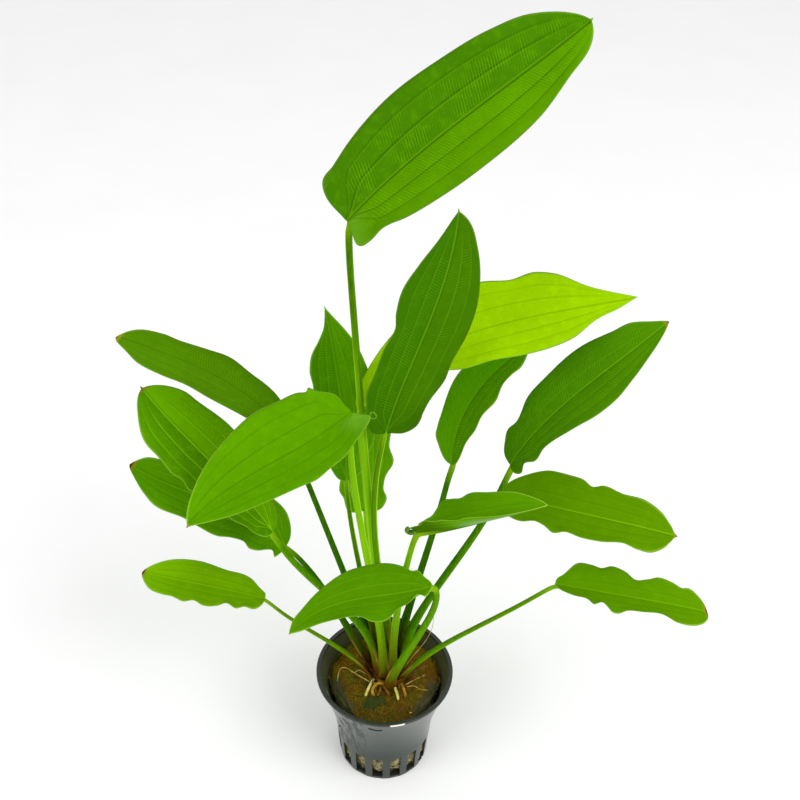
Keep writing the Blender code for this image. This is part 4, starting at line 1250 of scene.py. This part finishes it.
def make_stalk(leaf):
    """The foot is a wide sheath with a hollow towards the crown. Higher up the stalk is round,
    with faint ribs."""
    turn = math.radians(leaf.around)
    out = np.array([math.cos(turn), math.sin(turn), 0.0])
    path, radius, gone, bare = stalk_path(leaf, out)
    run = unit(np.gradient(path, axis=0))
    sides = [unit(np.cross(run[0], out))]
    for direction in run[1:]:
        sides.append(unit(sides[-1] - direction * (sides[-1] @ direction)))
    side = np.array(sides)
    away = np.cross(side, run)
    wide = radius + (leaf.sheath - radius) * np.exp(-(gone / SHEATH_REACH) ** 2)
    wide = wide + 0.35 * leaf.thick * np.exp(-((gone - 14) / 8) ** 2)
    deep = radius * (1 - 0.35 * np.exp(-(gone / 11) ** 2))
    hollow = (0.5 * np.exp(-(gone / 14) ** 2) + 0.1) * wide
    turns = np.linspace(0, 2 * np.pi, STALK_SIDES, endpoint=False)
    ribs = 1 + 0.05 * np.cos(STALK_RIBS * turns)
    across = wide[:, None] * np.cos(turns) * ribs
    depth = deep[:, None] * np.sin(turns) * ribs - hollow[:, None] * np.cos(turns) ** 2
    points = path[:, None] + side[:, None] * across[..., None] + away[:, None] * depth[..., None]
    # For the painted edge highlights: the direction across each stalk as seen from in front and above.
    edge_light_side = unit(np.cross(run, EDGE_LIGHT_VIEW))[:, None]
    tags = {
        "height": (gone[:, None], gone[[0, -1]]),
        "turn": (np.sin(turns), [0, 0]),
        "edge": (np.abs(np.cos(turns)), [0, 0]),
        "edge_light": (np.abs((unit(points - path[:, None]) * edge_light_side).sum(-1)), [0, 0]),
        "neck": (np.clip((gone - bare) / 8 + 1, 0, 1)[:, None], [0, 1]),
        "keel": (np.clip(gone / bare * 8 - 8, 0, 1)[:, None], [0, 1]),
    }
    return skin("stem_" + leaf.name, points, path[[0, -1]], tags)


def browned(paint, leaf, body, spot, fibre, cloud):
    """The stalk's foot: olive, with a papery rim, brown blots and a stain at the very bottom."""
    climbed = paint.tagged("height")
    foot = paint.ramp(climbed + 9 * cloud, *((56, 14) if leaf.ring <= INNER_RING else (34, 8)))
    body = paint.mix(foot * 0.85, body, rgb(102, 104, 12))
    rim = paint.ramp(climbed + 8 * fibre, 24, 14) * paint.ramp(paint.tagged("edge"), 0.86, 0.97)
    body = paint.mix(rim * 0.8, body, rgb(170, 156, 58))
    blot = paint.ramp(paint.noise(paint.stretched(spot, 1, 1, 0.3), 1.6, 4, 0.65), 0.5, 0.62)
    body = paint.mix(blot * paint.ramp(climbed, 26, 6) * 0.6, body, rgb(120, 82, 16))
    stain = paint.ramp(climbed + 13 * fibre, 18, 10)
    return paint.mix(stain * 0.85, body, rgb(112, 70, 14))


def blend(share, first, second):
    """The colour between two, with a share of the second."""
    return tuple(a + (b - a) * share for a, b in zip(first, second))


def below_blade(leaf):
    """The keel beneath a blade has the colour of the blade's underside. Where pale_from is set, it is
    painted dark instead, as painted shade beneath the folded blade.
    """
    if leaf.pale_from:
        # Painted shade: the keel under the folded blade is drawn dark.
        return lit(rgb(*leaf.left), 0.5)
    keel = blend(leaf.pale, lit(rgb(*leaf.left), 1.15), UNDERSIDE)
    return blend(0.35, keel, rgb(*leaf.rim_colour))


def stalk_finish(leaf):
    """Finely striped green, with a painted highlight down one side, painted lighter in the middle of
    the plant where the stalks shade one another, and paler at the neck. The stalks in the middle
    of the plant have two painted highlights along their edges, as seen from in front and above."""
    paint = Paint("stem_" + leaf.name)
    spot = paint.place()
    fibre = paint.noise(paint.stretched(spot, 1, 1, 0.06), 0.45, 3, 0.6)
    cloud = paint.noise(spot, 7)
    green = rgb(*leaf.stalk)
    bright = hazy(green, (0.05, 0.07, 0.003))
    body = paint.mix(paint.ramp(fibre, 0.35, 0.65), lit(green, 0.6), green)
    height = paint.part_of(spot, "Z")
    # Painted light: the stalks are painted lighter in the middle of the plant, where they shade one
    # another, brighter still where paled is above 1.
    middle = paint.ramp(height, 225, 165) * paint.ramp(height, 70, 110)
    middle_light = lit(rgb(130, 188, 16), max(1.0, leaf.middle_light))
    body = paint.mix(middle * min(1.0, leaf.middle_light), body, middle_light)
    # A painted highlight down one side of each stalk.
    body = paint.mix(paint.ramp(paint.tagged("turn") + 0.3 * cloud, 0.1, 1.0) * 0.35, body, bright)
    # Painted highlights along the two edges of each middle stalk, as seen from in front and above.
    if leaf.ring <= INNER_RING:
        edge_light = paint.ramp(paint.tagged("edge_light"), 0.7, 0.93) * (0.2 + 0.6 * middle)
        body = paint.mix(edge_light, body, rgb(172, 230, 58))
    body = browned(paint, leaf, body, spot, fibre, cloud)
    body = paint.mix(paint.tagged("neck") * 0.6, body, rgb(152, 198, 22))
    body = paint.mix(paint.tagged("keel"), body, below_blade(leaf))
    return paint.finish(body, 0.38 + 0.15 * cloud, relief=fibre, depth=0.12, gloss=0.0,
                        glow=bright, share=0.08)


for leaf in LEAVES:
    fit(make_stalk(leaf), stalk_finish(leaf), "stalk", "stalk_" + leaf.name)

# CURLS
# Two blades curl over at the edge beside their stalk: the folded leaf in a thick dark curl, and
# the pale leaf at the front left in a fine ring.
CURLS = {
    "folded": ("leaf_mid", rgb(40, 84, 10), rgb(104, 152, 34), 1.0, [
        (11.2, -15.0, 142.0), (9.4, -15.2, 141.5), (7.9, -15.3, 141.6), (7.0, -15.3, 142.6),
        (7.7, -15.2, 143.6)]),
    "front_left": ("leaf_light", rgb(104, 160, 16), rgb(136, 190, 34), 0.19, [
        (-6.2, -8.8, 186.6), (-4.8, -9.6, 186.7), (-4.0, -9.8, 188.0), (-4.9, -9.4, 189.2),
        (-6.0, -9.0, 188.5), (-5.7, -8.8, 187.3)]),
}
for name, (slot, dark, pale, radius, route) in CURLS.items():
    curl = many_rods("curl_" + name, [(radius, route)], 30, 12)
    fit(curl, root_finish("curl_" + name, dark, pale), slot)

# SETTING
# A pale matte table under soft light: a broad lamp above on the right, a weaker one on the left
# and an even white sky. The table, the lamps and their places are in metres.
PITCH = 38.3
ROLL = 1.45
EYE = (3.45, -296.3, 421.15)
LENS = 51.66
TABLE_SIZE = 6.0
SKY_STRENGTH = 0.8
LAMPS = {
    "key": ((0.7, -0.5, 1.1), (0, 0, 0.12), 0.9, 8),
    "fill": ((-0.9, -0.6, 0.7), (0, 0, 0.15), 0.9, 4.5),
}


def make_table():
    bm = bmesh.new()
    bmesh.ops.create_grid(bm, x_segments=1, y_segments=1, size=TABLE_SIZE / 2)
    mesh = bpy.data.meshes.new("table_top")
    bm.to_mesh(mesh)
    table = link("table_top", mesh)
    paint = Paint("table_top")
    cloud = paint.noise(paint.place(), 60, 2)
    colour = paint.mix(cloud, (0.92, 0.92, 0.92, 1), (0.96, 0.96, 0.96, 1))
    mesh.materials.append(paint.finish(colour, 0.85))


def make_camera():
    """The eye looks along +Y and down by PITCH, and is turned a little about its own axis."""
    pitch, roll = math.radians(PITCH), math.radians(ROLL)
    ahead = Vector((0, math.cos(pitch), -math.sin(pitch)))
    above = Vector((0, math.sin(pitch), math.cos(pitch)))
    right = Vector((math.cos(roll), 0, 0)) + above * math.sin(roll)
    top = above * math.cos(roll) - Vector((math.sin(roll), 0, 0))
    data = bpy.data.cameras.new("camera")
    data.lens = LENS
    data.clip_start = 0.02
    camera = link("camera", data)
    pose = Matrix((right, top, -ahead)).transposed().to_4x4()
    camera.matrix_world = Matrix.Translation(Vector(EYE) * MM) @ pose
    bpy.context.scene.camera = camera


def make_lamp(name, spot, aim, size, power):
    """A round lamp at a spot, turned to what it is aimed at."""
    data = bpy.data.lights.new(name, 'AREA')
    data.shape = 'DISK'
    data.size = size
    data.energy = power
    lamp = link(name, data)
    lamp.location = spot
    lamp.rotation_euler = (Vector(aim) - Vector(spot)).to_track_quat('-Z', 'Y').to_euler()


def make_sky():
    world = bpy.data.worlds.new("sky")
    world.use_nodes = True
    back = world.node_tree.nodes["Background"]
    back.inputs["Color"].default_value = (1, 1, 1, 1)
    back.inputs["Strength"].default_value = SKY_STRENGTH
    bpy.context.scene.world = world


make_table()
make_camera()
make_sky()
for name, settings in LAMPS.items():
    make_lamp(name, *settings)
bpy.context.scene.view_settings.view_transform = 'Standard'
